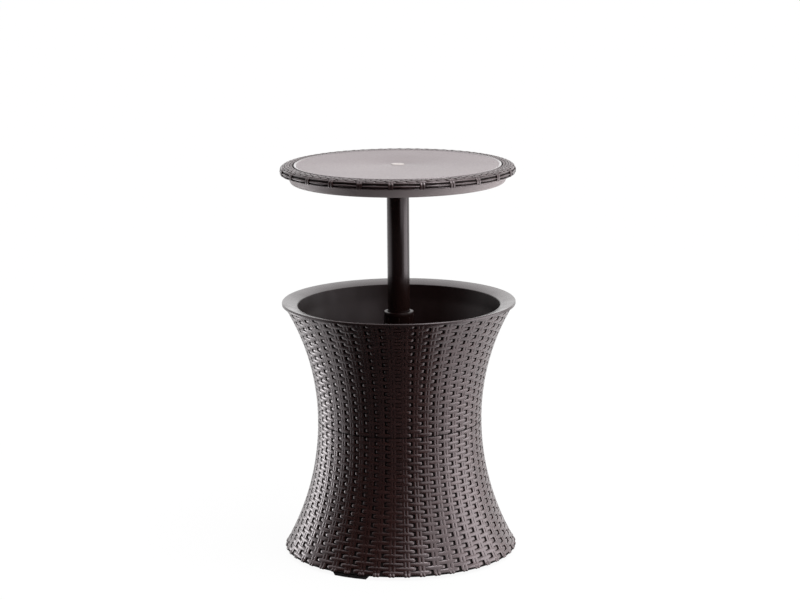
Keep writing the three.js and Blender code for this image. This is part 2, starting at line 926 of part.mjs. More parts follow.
function buildFoot(pad, fastener, azimuth, number) {
  const foot = new THREE.Group();
  foot.rotation.z = radians(azimuth);
  foot.add(piece(`foot_pad_${number}`, pad, finishes.foot));
  foot_screw_places.forEach((place, i) => {
    const side = i ? 'right' : 'left';
    const held = piece(`foot_screw_${number}_${side}`, fastener, finishes.steel);
    held.position.set(place.x, place.y, foot_screw_seat - seat_gap);
    held.rotation.x = Math.PI;
    foot.add(held);
  });
  return foot;
}

function buildDrain() {
  const drain = new THREE.Group();
  drain.position.copy(polar(drain_offset, drain_azimuth));
  const bore = drain_stem_radius + seat_gap;
  const gasket = washer(bore, drain_flange_radius, gasket_low, gasket_high, small_steps);
  drain.add(piece('drain_fitting', drainFitting(), finishes.inner));
  drain.add(piece('drain_gasket', gasket, finishes.rubber));
  drain.add(piece('drain_nut', drainNut(), finishes.inner));
  drain.add(piece('drain_plug', drainPlug(), finishes.rubber));
  return drain;
}

function screwRing(name, seat, length) {
  const shape = screw(length);
  return Array.from({ length: flange_screw_count }, (_, i) => {
    const fastener = piece(`${name}_${i + 1}`, shape, finishes.steel);
    const azimuth = flange_screw_start + (full_circle * i) / flange_screw_count;
    fastener.position.copy(polar(flange_screw_circle, azimuth, seat));
    return fastener;
  });
}

function grubPair(name, near, far, height) {
  return [0, Math.PI].map((turn, i) => {
    const fastener = piece(`${name}_${i + 1}`, grubScrew(near, far), finishes.steel);
    fastener.position.z = height;
    fastener.rotation.z = turn;
    return fastener;
  });
}

function buildColumn() {
  const column = new THREE.Group();
  const under_floor = floor_top - tub_wall - seat_gap;
  const screw_seat = foot_flange_high + seat_gap;
  const screw_length = screw_seat - under_floor + back_plate_wall - seat_gap;
  column.add(piece('column_outer_tube', outerTube(), finishes.column));
  column.add(piece('column_foot_flange', footFlange(), finishes.column));
  column.add(piece('column_gasket', drilledWasher(gasket_low, gasket_high), finishes.rubber));
  const back_plate = drilledWasher(under_floor - back_plate_wall, under_floor);
  column.add(piece('column_back_plate', back_plate, finishes.inner));
  column.add(...screwRing('flange_screw', screw_seat, screw_length));
  column.add(...grubPair('flange_grub_screw', foot_grub_near, foot_grub_far, foot_grub_height));
  column.add(piece('column_end_cap', endCap(), finishes.inner));
  column.add(piece('column_collet', collet(), finishes.inner));
  column.add(piece('column_twist_collar', twistCollar(), finishes.column));
  column.add(piece('column_moving_tube', movingTube(), finishes.column));
  column.add(piece('glide_sleeve', glideSleeve(), finishes.inner));
  column.add(piece('glide_pin', glidePin(), finishes.steel));
  return column;
}

function buildTable() {
  const table = new THREE.Group();
  table.position.z = table_base;
  const screw_seat = socket_flange_high + seat_gap;
  table.add(piece('table_lid', tableLid(), finishes.smooth));
  table.add(piece('table_woven_ring', wovenRing(), finishes.woven));
  table.add(piece('table_disc', tableDisc(), finishes.disc));
  table.add(piece('centre_cap', centreCap(), finishes.cap));
  table.add(piece('centre_bolt', centreBolt(), finishes.steel));
  table.add(piece('tube_top_plug', topPlug(), finishes.inner));
  table.add(piece('column_socket', columnSocket(), finishes.inner));
  table.add(...screwRing('socket_screw', screw_seat, screw_seat - seat_gap));
  table.add(...grubPair('socket_grub_screw', socket_grub_near, socket_grub_far, socket_grub_rise));
  return table;
}

const ice_bucket_table = new THREE.Group();
ice_bucket_table.add(buildBody(), buildDrain(), buildColumn(), buildTable());

export default ice_bucket_table;
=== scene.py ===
# %% [markdown]
# # Ice bucket coffee table
# The table is a waisted, basket-look body of moulded plastic. It holds an open tub, and a round
# table top stands above the tub on one telescopic column.
# The imported model gives every piece its place and its bare form. This file dresses it: round
# pieces are spun finely, the basket weave is modelled strand by strand, and each finish is mixed
# from nodes. First the imported model is loaded.

# %% Load the imported model
import json
import math

import bmesh
import bpy
import numpy as np
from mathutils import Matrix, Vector


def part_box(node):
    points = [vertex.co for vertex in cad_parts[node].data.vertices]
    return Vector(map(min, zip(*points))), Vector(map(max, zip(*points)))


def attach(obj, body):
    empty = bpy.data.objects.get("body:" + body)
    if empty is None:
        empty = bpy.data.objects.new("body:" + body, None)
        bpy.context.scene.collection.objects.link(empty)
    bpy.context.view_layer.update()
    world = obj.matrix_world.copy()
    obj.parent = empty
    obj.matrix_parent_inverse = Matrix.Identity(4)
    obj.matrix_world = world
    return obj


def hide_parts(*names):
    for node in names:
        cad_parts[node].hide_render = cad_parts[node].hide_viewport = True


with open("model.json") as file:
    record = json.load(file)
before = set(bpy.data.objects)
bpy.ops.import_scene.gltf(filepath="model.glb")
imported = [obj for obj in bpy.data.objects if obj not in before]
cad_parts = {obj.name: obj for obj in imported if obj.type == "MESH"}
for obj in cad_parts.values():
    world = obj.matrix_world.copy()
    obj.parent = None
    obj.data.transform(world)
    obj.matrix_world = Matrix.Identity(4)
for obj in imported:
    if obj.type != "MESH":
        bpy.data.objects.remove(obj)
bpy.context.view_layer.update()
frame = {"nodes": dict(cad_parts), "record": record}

# %% [markdown]
# ## Camera
# The photograph was taken from a little above the table top, with a long lens. The height, the
# distance and the lens were found by fitting the circles of the table, the rim, the waist and
# the base to their ellipses. A camera could also be set by eye, but the ellipses show the
# angle to a tenth of a degree.

# %% Set the camera
focal_length_px = 2438.3
image_width_px = 800
sensor_width = 36
camera_distance = 5.0658
camera_height = 1.5652
camera_tilt = math.radians(11.42)
camera_yaw = math.radians(0.03)
camera_roll = math.radians(-0.48)

bpy.ops.object.camera_add(location=(0, -camera_distance, camera_height))
camera = bpy.context.active_object
camera.name = "photo_camera"
camera.rotation_euler = (math.radians(90) - camera_tilt, 0, -camera_yaw)
camera.rotation_euler.rotate_axis("Z", camera_roll)
camera.data.sensor_width = sensor_width
camera.data.lens = focal_length_px * sensor_width / image_width_px
camera.data.clip_end = 50
bpy.context.scene.camera = camera
print("lens in mm:", round(camera.data.lens, 1))

# %% [markdown]
# ## Nodes
# The surroundings, the finishes and the floor are all mixed from nodes. One helper adds a node,
# sets it up and links what leads into it, and three more stand for what is needed often.

# %% Helpers for nodes


def add_node(tree, kind, inputs=(), **settings):
    """Adds a node. Its inputs are pairs of a key and either a value or a socket to link."""
    node = tree.nodes.new("ShaderNode" + kind)
    for key, value in settings.items():
        setattr(node, key, value)
    for key, value in inputs:
        if isinstance(value, bpy.types.NodeSocket):
            tree.links.new(value, node.inputs[key])
        else:
            node.inputs[key].default_value = value
    return node


def calculated(tree, operation, first, second):
    """The result of one operation on two numbers."""
    return add_node(tree, "Math", enumerate((first, second)), operation=operation).outputs["Value"]


def closeness(tree, spot, towards):
    """The dot product of a direction with a fixed one: 1 straight towards it, 0 square to it."""
    pair = enumerate((spot, towards))
    return add_node(tree, "VectorMath", pair, operation="DOT_PRODUCT").outputs["Value"]


def spread(tree, value, low, high, start=0.3, end=0.7, kind="LINEAR"):
    """Maps a value from between start and end to between low and high."""
    inputs = {"Value": value, "From Min": start, "From Max": end, "To Min": low, "To Max": high}
    return add_node(tree, "MapRange", inputs.items(), interpolation_type=kind).outputs["Result"]


# %% [markdown]
# ## Studio
# The body shows a broad pale sheen on both sides and a nearly black strip down its front. Dark
# plastic shows little but what it reflects, so the studio is white behind and beside the table
# and dark behind the camera. Lamps alone could do it, but a graded world is softer and needs no
# tuning of distances. The flared base mirrors what is high up and the rest mirrors the floor, so
# the strip drifts to the left towards the base when the dark side of the world lies further left
# than the floor's. A dimmer patch of world keeps the left edge from washing out, and three weak
# softboxes add the brightest edges.

# %% Set the white surroundings
bpy.context.scene.view_settings.view_transform = "Standard"


def direction(azimuth, elevation=0):
    """A unit vector, by its angles from the front and from the horizon in degrees."""
    turn, rise = math.radians(azimuth), math.radians(elevation)
    across = math.cos(rise)
    return math.sin(turn) * across, -math.cos(turn) * across, math.sin(rise)


dark_direction = direction(-34)
cloth_direction = direction(-15)
patch_direction = direction(-119, 17)
grade_start, grade_end = 0.35, 0.66
patch_start, patch_end, patch_share = 0.78, 0.98, 0.55
studio_level, dark_level, backdrop_level = 1.55, 0.015, 1.0

world = bpy.data.worlds.new("white_studio")
bpy.context.scene.world = world
world.use_nodes = True
tree = world.node_tree
spot = add_node(tree, "TexCoord").outputs["Generated"]
graded = spread(
    tree, closeness(tree, spot, dark_direction),
    studio_level, dark_level, grade_start, grade_end, "SMOOTHSTEP",
)
dimmed = spread(
    tree, closeness(tree, spot, patch_direction),
    1.0, patch_share, patch_start, patch_end, "SMOOTHSTEP",
)
mirrored = calculated(tree, "MULTIPLY", graded, dimmed)
ray = add_node(tree, "LightPath")
in_view = calculated(
    tree, "MAXIMUM", ray.outputs["Is Camera Ray"], ray.outputs["Is Transmission Ray"]
)
levels = {"Factor": in_view, "A": mirrored, "B": backdrop_level}
strength = add_node(tree, "Mix", levels.items()).outputs["Result"]
background = tree.nodes["Background"]
background.inputs["Color"].default_value = (1, 1, 1, 1)
tree.links.new(strength, background.inputs["Strength"])
print("nodes of the world:", len(tree.nodes))

# %% Set the softboxes
aim = Vector((0, 0, 0.42))


def softbox(name, azimuth, distance, height, width, tall, power):
    """An area light that faces the middle of the table. Lengths in metres, power in watts."""
    across, ahead, _ = direction(azimuth)
    place = Vector((distance * across, distance * ahead, height))
    bpy.ops.object.light_add(type="AREA", location=place)
    lamp = bpy.context.active_object
    lamp.name = name
    lamp.data.shape = "RECTANGLE"
    lamp.data.size = width
    lamp.data.size_y = tall
    lamp.data.energy = power
    lamp.rotation_euler = (aim - place).to_track_quat("-Z", "Y").to_euler()


softbox("left_softbox", -115, distance=1.2, height=0.12, width=0.5, tall=0.24, power=2.4)
softbox("right_softbox", 85, distance=1.5, height=0.4, width=1.3, tall=0.8, power=8)
softbox("high_softbox", 48, distance=1.1, height=1.9, width=0.9, tall=0.9, power=14)

# %% [markdown]
# ## Helpers for modelling
# Every piece starts from a primitive and is shaped in edit mode. Operators work on whatever is
# selected, so each helper first clears the selection and then picks what it needs by place.

# %% Selecting and naming


def mm(value):
    """Millimetres as Blender's metres."""
    return value / 1000


def clear_selection():
    if bpy.context.mode != "OBJECT":
        bpy.ops.object.mode_set(mode="OBJECT")
    bpy.ops.object.select_all(action="DESELECT")


def newest(name):
    """Names the piece that an operator has just added."""
    piece = bpy.context.active_object
    piece.name = name
    piece.data.name = name
    return piece


def make_active(piece):
    clear_selection()
    piece.select_set(True)
    bpy.context.view_layer.objects.active = piece


def shift_mesh(piece, offset, turn=0):
    """Turns a piece's mesh by degrees about the upright axis, then moves it by an offset in mm."""
    make_active(piece)
    bpy.ops.object.mode_set(mode="EDIT")
    bpy.ops.mesh.select_all(action="SELECT")
    if turn:
        bpy.ops.transform.rotate(
            value=math.radians(turn), orient_axis="Z", center_override=(0, 0, 0)
        )
    bpy.ops.transform.translate(value=[mm(value) for value in offset])
    bpy.ops.object.mode_set(mode="OBJECT")


near = mm(0.01)


def pick(piece, test, kind="VERT"):
    """In edit mode, selects only the corners, edges or faces whose centre passes the test."""
    bpy.ops.mesh.select_mode(type=kind)
    bpy.ops.mesh.select_all(action="DESELECT")
    mesh = bmesh.from_edit_mesh(piece.data)
    parts = {"VERT": mesh.verts, "EDGE": mesh.edges, "FACE": mesh.faces}[kind]
    for part in parts:
        corners = [part] if kind == "VERT" else list(part.verts)
        centre = sum((corner.co for corner in corners), Vector()) / len(corners)
        part.select_set(bool(test(centre)))
    mesh.select_flush_mode()
    bmesh.update_edit_mesh(piece.data)


# %% [markdown]
# Modifiers are set, then applied, so that the mesh itself is the finished one. Softened edges
# matter on moulded plastic: the thin highlight on an edge tells the eye that it is solid.

# %% Modifiers and joining


def apply_modifier(piece, kind, **settings):
    make_active(piece)
    bpy.ops.object.modifier_add(type=kind)
    modifier = piece.modifiers[-1]
    for key, value in settings.items():
        setattr(modifier, key, value)
    bpy.ops.object.modifier_apply(modifier=modifier.name)
    return piece


def soften_edges(piece, width, segments=2, angle=30):
    return apply_modifier(
        piece, "BEVEL", width=mm(width), segments=segments,
        limit_method="ANGLE", angle_limit=math.radians(angle),
    )


def repeat_in_row(piece, count, step):
    return apply_modifier(
        piece, "ARRAY", count=count, use_relative_offset=False,
        use_constant_offset=True, constant_offset_displace=step,
    )


def shade_round(piece, angle=35):
    make_active(piece)
    bpy.ops.object.shade_smooth_by_angle(angle=math.radians(angle))
    return piece


def join_pieces(name, pieces):
    """Joins pieces into the first one."""
    make_active(pieces[0])
    for piece in pieces[1:]:
        piece.select_set(True)
    bpy.ops.object.join()
    return newest(name)


# %% [markdown]
# ## Spun pieces
# The tub, the tubes, the collar, the lid and the disc are all round about the column. Such a
# piece could be built from stacked cylinders, but a drawn half section that is spun once round
# the axis keeps every wall thickness true. The section is extruded point by point, as by hand.

# %% Spin a half section
weld_distance = 0.02


def spun(name, section, steps=96, soft=0.0, axis_point=(0, 0)):
    """Spins a half section of (radius, height) points in mm about an upright axis."""
    points = [Vector((mm(radius), 0, mm(height))) for radius, height in section]
    clear_of_axis = section[0][0] > 0 or section[-1][0] > 0
    if clear_of_axis:
        points.append(points[0])
    clear_selection()
    bpy.ops.mesh.primitive_plane_add(size=mm(1))
    piece = newest(name)
    bpy.ops.object.mode_set(mode="EDIT")
    bpy.ops.mesh.select_all(action="SELECT")
    bpy.ops.mesh.merge(type="CENTER")
    bpy.ops.transform.translate(value=points[0])
    for here, there in zip(points, points[1:]):
        bpy.ops.mesh.extrude_vertices_move(TRANSFORM_OT_translate={"value": there - here})
    bpy.ops.mesh.select_all(action="SELECT")
    bpy.ops.mesh.spin(steps=steps, angle=2 * math.pi, center=(0, 0, 0), axis=(0, 0, 1))
    bpy.ops.mesh.select_all(action="SELECT")
    bpy.ops.mesh.remove_doubles(threshold=mm(weld_distance))
    bpy.ops.mesh.normals_make_consistent(inside=False)
    bpy.ops.transform.translate(value=(mm(axis_point[0]), mm(axis_point[1]), 0))
    bpy.ops.object.mode_set(mode="OBJECT")
    if soft:
        soften_edges(piece, soft)
    return shade_round(piece)


# %% [markdown]
# ## Finishes
# The plastic is a dark espresso brown. Seen at a slant it looks a pale mauve grey, because its
# satin skin reflects the studio. So the colour is kept dark and the skin does the rest: a
# roughness that varies a little, and fine bumps of the mould's texture. One class lays down
# what all the finishes share, and a function then gives a plain plastic its own detail.

# %% A class for finishes


class Finish:
    """A node material about one Principled shader, with short ways to add detail."""

    def __init__(self, name, colour, roughness, gloss=0.5, metallic=0.0, tint=(1.0, 0.9, 0.94)):
        self.material = bpy.data.materials.new(name)
        self.material.use_nodes = True
        self.tree = self.material.node_tree
        self.shader = self.tree.nodes["Principled BSDF"]
        plain = {
            "Base Color": (*colour, 1), "Roughness": roughness, "Metallic": metallic,
            "Specular IOR Level": gloss, "Specular Tint": (*tint, 1),
        }
        for key, value in plain.items():
            self.shader.inputs[key].default_value = value
        self.places = add_node(self.tree, "TexCoord")
        self.last_bump = None

    def noise(self, scale, detail=3.0, stretch=(1, 1, 1), source="Object"):
        """Noise at a scale per metre, which may be stretched."""
        inputs = {"Vector": self.places.outputs[source], "Scale": stretch}
        mapping = add_node(self.tree, "Mapping", inputs.items())
        inputs = {"Vector": mapping.outputs["Vector"], "Scale": scale, "Detail": detail}
        return add_node(self.tree, "TexNoise", inputs.items()).outputs["Fac"]

    def colour_between(self, value, low, high):
        inputs = {"Factor": value, "A": (*low, 1), "B": (*high, 1)}
        colour = add_node(self.tree, "Mix", inputs.items(), data_type="RGBA").outputs["Result"]
        self.tree.links.new(colour, self.shader.inputs["Base Color"])

    def rough_between(self, value, low, high):
        rough = spread(self.tree, value, low, high)
        self.tree.links.new(rough, self.shader.inputs["Roughness"])

    def bump(self, value, depth, strength=1.0):
        """Adds a bump of a depth in mm on top of those already there."""
        inputs = {"Height": value, "Distance": mm(depth), "Strength": strength}
        if self.last_bump is not None:
            inputs["Normal"] = self.last_bump
        self.last_bump = add_node(self.tree, "Bump", inputs.items()).outputs["Normal"]
        self.tree.links.new(self.last_bump, self.shader.inputs["Normal"])


# %% A plain plastic


def plastic(name, colour, roughness, tones, rough=None, bumps=(), **more):
    """A finish that varies with noises of (scale, detail, stretch).

    tones are a noise and two colours, rough is a noise and two values, and each bump is a noise,
    a depth in mm and a strength.
    """
    skin = Finish(name, colour, roughness, **more)
    noise, dark, light = tones
    skin.colour_between(skin.noise(*noise), dark, light)
    if rough:
        noise, smoothest, roughest = rough
        skin.rough_between(skin.noise(*noise), smoothest, roughest)
    for noise, depth, strength in bumps:
        skin.bump(skin.noise(*noise), depth, strength)
    return skin


# %% [markdown]
# The weave's strands carry fine grooves along their length, as extruded cane does. The grooves
# need a direction, so they are laid out on the strand's own UV map, along and across. Each
# strand also has a tone of its own, kept in an attribute, so that no two neighbours match.
# The wall behind the strands is dull, and nearly black: painted shade that makes the gaps look
# deep.

# %% Woven plastic
grooves_per_metre, groove_wobble, groove_depth = 175, 0.4, 0.08
fibre_noise, fibre_depth, fibre_strength = (900, 2.0, (0.12, 1, 1), "UV"), 0.04, 0.4


def cane(name, dark, light, smooth, rough, groove_strength):
    """A grooved strand plastic between two tones, with twice the gloss of a plain plastic."""
    skin = Finish(name, dark, rough, gloss=1.0)
    tone = add_node(skin.tree, "Attribute", attribute_name="strand_tone").outputs["Fac"]
    skin.colour_between(tone, dark, light)
    inputs = {
        "Vector": skin.places.outputs["UV"], "Scale": grooves_per_metre,
        "Distortion": groove_wobble,
    }
    grooves = add_node(skin.tree, "TexWave", inputs.items(), bands_direction="Y")
    skin.bump(grooves.outputs["Fac"], groove_depth, groove_strength)
    skin.bump(skin.noise(*fibre_noise), fibre_depth, fibre_strength)
    skin.rough_between(skin.noise(120), smooth, rough)
    return skin


woven = cane(
    "woven_plastic", dark=(0.019, 0.006, 0.005), light=(0.031, 0.011, 0.0094),
    smooth=0.22, rough=0.32, groove_strength=0.45,
)
ring_cane = cane(
    "ring_plastic", dark=(0.015, 0.0055, 0.005), light=(0.027, 0.011, 0.01),
    smooth=0.26, rough=0.38, groove_strength=0.08,
)
# Nearly black colour: painted shade in the gaps between the strands.
wall = plastic(
    "weave_wall_painted_shade", (0.006, 0.004, 0.004), 0.6, gloss=0.1,
    tones=((60,), (0.005, 0.0035, 0.0033), (0.009, 0.0065, 0.006)),
    bumps=[((1400,), 0.05, 0.5)],
)
print("finishes of the weave:", [skin.material.name for skin in (woven, ring_cane, wall)])

# %% [markdown]
# Tub, lid, column and collar are smooth mouldings. The tub has a soft gloss with faint flow
# marks on its rim and is duller within, where its colour is darker too: painted shade inside the
# tub. The lid has a paler satin skin with fine turned lines, the column a high gloss, and the
# collar a dull grip.

# %% Smooth plastics
tub_skin = plastic(
    "tub_plastic", (0.013, 0.0055, 0.005), 0.25, gloss=0.7,
    tones=((9, 2.0), (0.011, 0.0046, 0.0042), (0.017, 0.0078, 0.007)),
    rough=((30, 4.0, (1, 1, 0.2)), 0.2, 0.3),
    bumps=[((700, 2.0), 0.02, 0.5), ((14, 2.0), 0.35, 0.25)],
)
# Duller, and darker than the rim: the darker colour is painted shade inside the tub.
inside_shade_skin = plastic(
    "tub_inside_painted_shade", (0.01, 0.0042, 0.0038), 0.4, gloss=0.22,
    tones=((9, 2.0), (0.008, 0.0034, 0.003), (0.013, 0.006, 0.0055)),
    rough=((30, 4.0, (1, 1, 0.2)), 0.34, 0.46),
    bumps=[((700, 2.0), 0.02, 0.5)],
)
lid_skin = plastic(
    "lid_plastic", (0.27, 0.23, 0.232), 0.36,
    tones=((12, 3.0), (0.28, 0.24, 0.242), (0.32, 0.274, 0.277)),
    rough=((6, 3.0, (1, 1, 40)), 0.42, 0.56),
    bumps=[((5, 2.0, (1, 1, 160)), 0.05, 0.35), ((900, 2.0), 0.02, 0.4)],
)
column_skin = plastic(
    "column_plastic", (0.011, 0.0045, 0.0038), 0.16,
    tones=((7,), (0.009, 0.0036, 0.003), (0.014, 0.0062, 0.0054)),
    rough=((22, 4.0, (1, 1, 0.15)), 0.12, 0.24),
    bumps=[((10, 2.0, (1, 1, 0.3)), 0.3, 0.2)],
)
collar_skin = plastic(
    "collar_plastic", (0.01, 0.0042, 0.0036), 0.34, gloss=0.12,
    tones=((9,), (0.008, 0.0034, 0.0029), (0.013, 0.0056, 0.005)),
    rough=((20, 4.0), 0.28, 0.4),
    bumps=[((14, 2.0), 0.25, 0.2)],
)
smooth_skins = (tub_skin, inside_shade_skin, lid_skin, column_skin, collar_skin)
print("smooth finishes:", [skin.material.name for skin in smooth_skins])

# %% [markdown]
# The disc has a fine spark-eroded grain, on which nothing slides. It spreads the light, so the
# disc looks paler than the rest, while the bead at its edge is polished. The cap is a lighter
# plastic with a grain like the disc's.

# %% Grained plastics, rubber and steel
disc_skin = plastic(
    "disc_plastic", (0.2, 0.172, 0.178), 0.5,
    tones=((16, 5.0), (0.182, 0.156, 0.161), (0.218, 0.187, 0.193)),
    rough=((420, 3.0), 0.42, 0.6),
    bumps=[((1500, 3.0), 0.08, 0.7)],
)
bead_skin = plastic(
    "bead_gloss", (0.12, 0.104, 0.106), 0.12, gloss=1.0,
    tones=((40,), (0.11, 0.095, 0.097), (0.135, 0.117, 0.119)),
    rough=((300, 3.0), 0.08, 0.16),
)
cap_skin = plastic(
    "cap_plastic", (0.4, 0.36, 0.35), 0.45,
    tones=((90, 4.0), (0.37, 0.33, 0.32), (0.45, 0.41, 0.40)),
    bumps=[((1800, 3.0), 0.06, 0.6)],
)
foot_skin = plastic(
    "foot_plastic", (0.022, 0.020, 0.019), 0.7,
    tones=((70, 4.0), (0.017, 0.015, 0.015), (0.030, 0.027, 0.026)),
    bumps=[((900, 3.0), 0.1, 0.6)],
)
inner_skin = plastic(
    "inner_plastic", (0.045, 0.040, 0.038), 0.5,
    tones=((40, 3.0), (0.038, 0.034, 0.032), (0.055, 0.049, 0.047)),
    rough=((160,), 0.42, 0.58),
    bumps=[((1100,), 0.05, 0.5)],
)
rubber_skin = plastic(
    "rubber", (0.02, 0.02, 0.02), 0.85,
    tones=((120, 4.0), (0.016, 0.016, 0.016), (0.03, 0.03, 0.03)),
    bumps=[((1600,), 0.08, 0.6)],
)
steel_skin = plastic(
    "steel", (0.6, 0.6, 0.61), 0.3, metallic=1.0, tint=(1, 1, 1),
    tones=((300, 3.0), (0.52, 0.52, 0.53), (0.66, 0.66, 0.67)),
    rough=((700, 3.0), 0.22, 0.42),
)

finish_of_slot = {
    "woven_plastic": woven, "lid_plastic": lid_skin, "tub_plastic": tub_skin,
    "column_plastic": column_skin, "disc_plastic": disc_skin, "cap_plastic": cap_skin,
    "foot_plastic": foot_skin, "inner_plastic": inner_skin, "rubber": rubber_skin,
    "steel": steel_skin,
}
print("slots with a finish:", len(finish_of_slot))

# %% [markdown]
# A finished piece is painted and set on its body, and the imported pieces that it stands for are
# hidden. Pieces that need no new shape keep their imported mesh and only get a finish.

# %% Put a piece in place


def place(piece, body, slot, stands_for=(), finish=None):
    """Paints a piece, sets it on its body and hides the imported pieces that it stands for."""
    if finish or not piece.data.materials:
        piece.data.materials.clear()
        piece.data.materials.append((finish or finish_of_slot[slot]).material)
    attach(piece, body)
    if stands_for:
        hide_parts(*stands_for)
    print(piece.name, "faces:", len(piece.data.polygons))
    return piece


for part in frame["record"]["subparts"]:
    packed = frame["nodes"][part["node"]]
    packed.data.materials.clear()
    packed.data.materials.append(finish_of_slot[part["material_slot"]].material)

# %% [markdown]
# ## The body's curve
# Seen from the side, the body is two arcs of a circle that meet upright at the waist. All its
# pieces follow that curve at some depth, so it is worked out once. A point on it is given by
# its length along the arc from the waist, up or down, and by how far it lies inside the curve.

# %% Follow the body's curve
waist_height, waist_radius = 285.0, 175.0
base_radius, foot_height = 249.0, 7.0
shell_top, shell_top_radius = 537.2, 244.0


def arc_radius(rise, flare):
    """Radius of an arc that starts upright and moves out by a flare over its rise."""
    return (rise**2 + flare**2) / (2 * flare)


upper_arc = arc_radius(shell_top - waist_height, shell_top_radius - waist_radius)
lower_arc = arc_radius(waist_height - foot_height, base_radius - waist_radius)


def body_point(along):
    """Radius, height and outward direction at a length along the curve, all in mm."""
    along = np.asarray(along, float)
    arc = np.where(along >= 0, upper_arc, lower_arc)
    turn = along / arc
    radius = waist_radius + arc - arc * np.cos(turn)
    height = waist_height + arc * np.sin(turn)
    return radius, height, np.cos(turn), -np.sin(turn)


def body_radius(height, inset=0.0):
    """Radius of the curve at a height, moved in by an inset."""
    arc = upper_arc if height >= waist_height else lower_arc
    return waist_radius + arc - math.sqrt((arc + inset) ** 2 - (height - waist_height) ** 2)


def body_curve(start, end, inset, steps):
    """Points of a half section along the curve."""
    return [
        (body_radius(height, inset), height)
        for height in (start + (end - start) * i / steps for i in range(steps + 1))
    ]


upper_length = upper_arc * math.asin((shell_top - waist_height) / upper_arc)
print("radii of the two arcs, mm:", round(upper_arc, 1), round(lower_arc, 1))

# %% [markdown]
# ## A strand of the weave
# One strand of the weave is a flat piece of cane that lies over one stake. It repeats some 1500
# times, so it has only a few dozen faces. The weave is moulded by a front and a back slide, so its
# two ends differ: the end nearer the slide's middle runs flush into the next stake, and the outer
# one is rounded, with a deep gap round it. A cube would need many cuts for that, so a grid is the
# better start: its columns are moved, narrowed and lowered, and then its outline is pulled down
# into the wall. Each finished column is put well aside, so that the next is picked by itself.

# %% Close the outline of a strand


def close_strand(depth):
    """In edit mode, pulls an outline down by a depth in mm to make the sides of a strand."""
    bpy.ops.mesh.select_all(action="SELECT")
    bpy.ops.mesh.region_to_loop()
    bpy.ops.mesh.extrude_edges_move(TRANSFORM_OT_translate={"value": (0, 0, -mm(depth))})
    bpy.ops.mesh.select_all(action="SELECT")
    bpy.ops.mesh.normals_make_consistent(inside=False)
    bpy.ops.object.mode_set(mode="OBJECT")


# %% Model one strand
columns, rows = 8, 4
aside = 100


def strand(name, places, half_heights, drops, edge_drop, round_drop, depth, hand=1):
    """A strand that lies flat along X, its crown at z = 0. All sizes in mm; hand -1 mirrors it."""
    if hand < 0:
        places = [-place for place in reversed(places)]
        half_heights, drops = half_heights[::-1], drops[::-1]
    clear_selection()
    bpy.ops.mesh.primitive_grid_add(x_subdivisions=columns, y_subdivisions=rows, size=2)
    piece = newest(name)
    bpy.ops.object.mode_set(mode="EDIT")
    for i in range(columns + 1):
        old = 2 * i / columns - 1
        pick(piece, lambda corner: abs(corner.x - old) < near)
        bpy.ops.transform.resize(value=(1, mm(half_heights[i]), 1), center_override=(old, 0, 0))
        bpy.ops.transform.translate(value=(mm(places[i]) - old + aside, 0, -mm(drops[i])))
    bpy.ops.mesh.select_all(action="SELECT")
    bpy.ops.transform.translate(value=(-aside, 0, 0))
    mesh = bmesh.from_edit_mesh(piece.data)
    outline = {corner.index for corner in mesh.verts if corner.is_boundary}
    beside_middle = {c.index for c in mesh.verts if c.index // (columns + 1) in (1, rows - 1)}
    for lowered, drop in ((outline, edge_drop), (beside_middle - outline, round_drop)):
        mesh.verts.ensure_lookup_table()
        bpy.ops.mesh.select_all(action="DESELECT")
        for index in lowered:
            mesh.verts[index].select_set(True)
        mesh.select_flush_mode()
        bpy.ops.transform.translate(value=(0, 0, -mm(drop)))
    close_strand(depth)
    return piece


# %% Try the body's strand
mat_radius = 200.0
stake_count = 48
stake_pitch = 2 * math.pi * mat_radius / stake_count
row_pitch = 8.6
height_shares = [0.82, 0.78, 0.82, 0.94, 1.0, 0.97, 0.85, 0.68, 0.34]
body_strand = {
    "places": [-20.0, -16.0, -11.0, -5.5, 0, 5.5, 10.5, 14.6, 16.5],
    "half_heights": [share * row_pitch / 2 for share in height_shares],
    "drops": [0.3, 0.25, 0.12, 0.03, 0, 0.03, 0.2, 0.55, 1.9],
    "edge_drop": 0.65,
    "round_drop": 0.1,
    "depth": 1.8,
}
sample = strand("strand_sample", **body_strand)
strand_corners = len(sample.data.vertices)
print("faces of one strand:", len(sample.data.polygons), "corners:", strand_corners)
bpy.data.objects.remove(sample)

# %% [markdown]
# ## A stake of the weave
# The strands pass in front of and behind upright stakes, and each stake is a pair of thin ribs
# with a dark slit between them. A rib is a narrow grid, arched across and pulled down at its
# edges, as long as the mat is high, with one row of faces to each row of strands.

# %% Model one rib


def rib(name, half_width, start, end, pieces, crown, shoulder, depth):
    """A half-round rib that lies flat along Y. All sizes in mm."""
    clear_selection()
    bpy.ops.mesh.primitive_grid_add(x_subdivisions=4, y_subdivisions=pieces, size=2)
    piece = newest(name)
    bpy.ops.object.mode_set(mode="EDIT")
    bpy.ops.mesh.select_all(action="SELECT")
    bpy.ops.transform.resize(value=(mm(half_width), mm((end - start) / 2), 1))
    bpy.ops.transform.translate(value=(0, mm((start + end) / 2), mm(crown)))
    pick(piece, lambda corner: abs(abs(corner.x) - mm(half_width) / 2) < near)
    bpy.ops.transform.translate(value=(0, 0, -mm(shoulder) / 4))
    pick(piece, lambda corner: abs(corner.x) > mm(half_width) * 0.9)
    bpy.ops.transform.translate(value=(0, 0, -mm(shoulder)))
    close_strand(depth)
    return piece


# %% [markdown]
# ## From a flat mat to a round body
# The strand is copied into rows by array modifiers, and every second row is shifted by one stake,
# which makes a flat woven mat. Its quarters are mirrored in turn, because each of the mould's two
# slides is alike on both sides of its middle. To bend the mat round the body, Blender's Bend tool
# would need a window, and a deform modifier only gives a plain cylinder. So its corners are moved
# by a short function: x goes round the axis, y goes along the body's curve and z stands off it.

# %% Tone a mat and wrap it


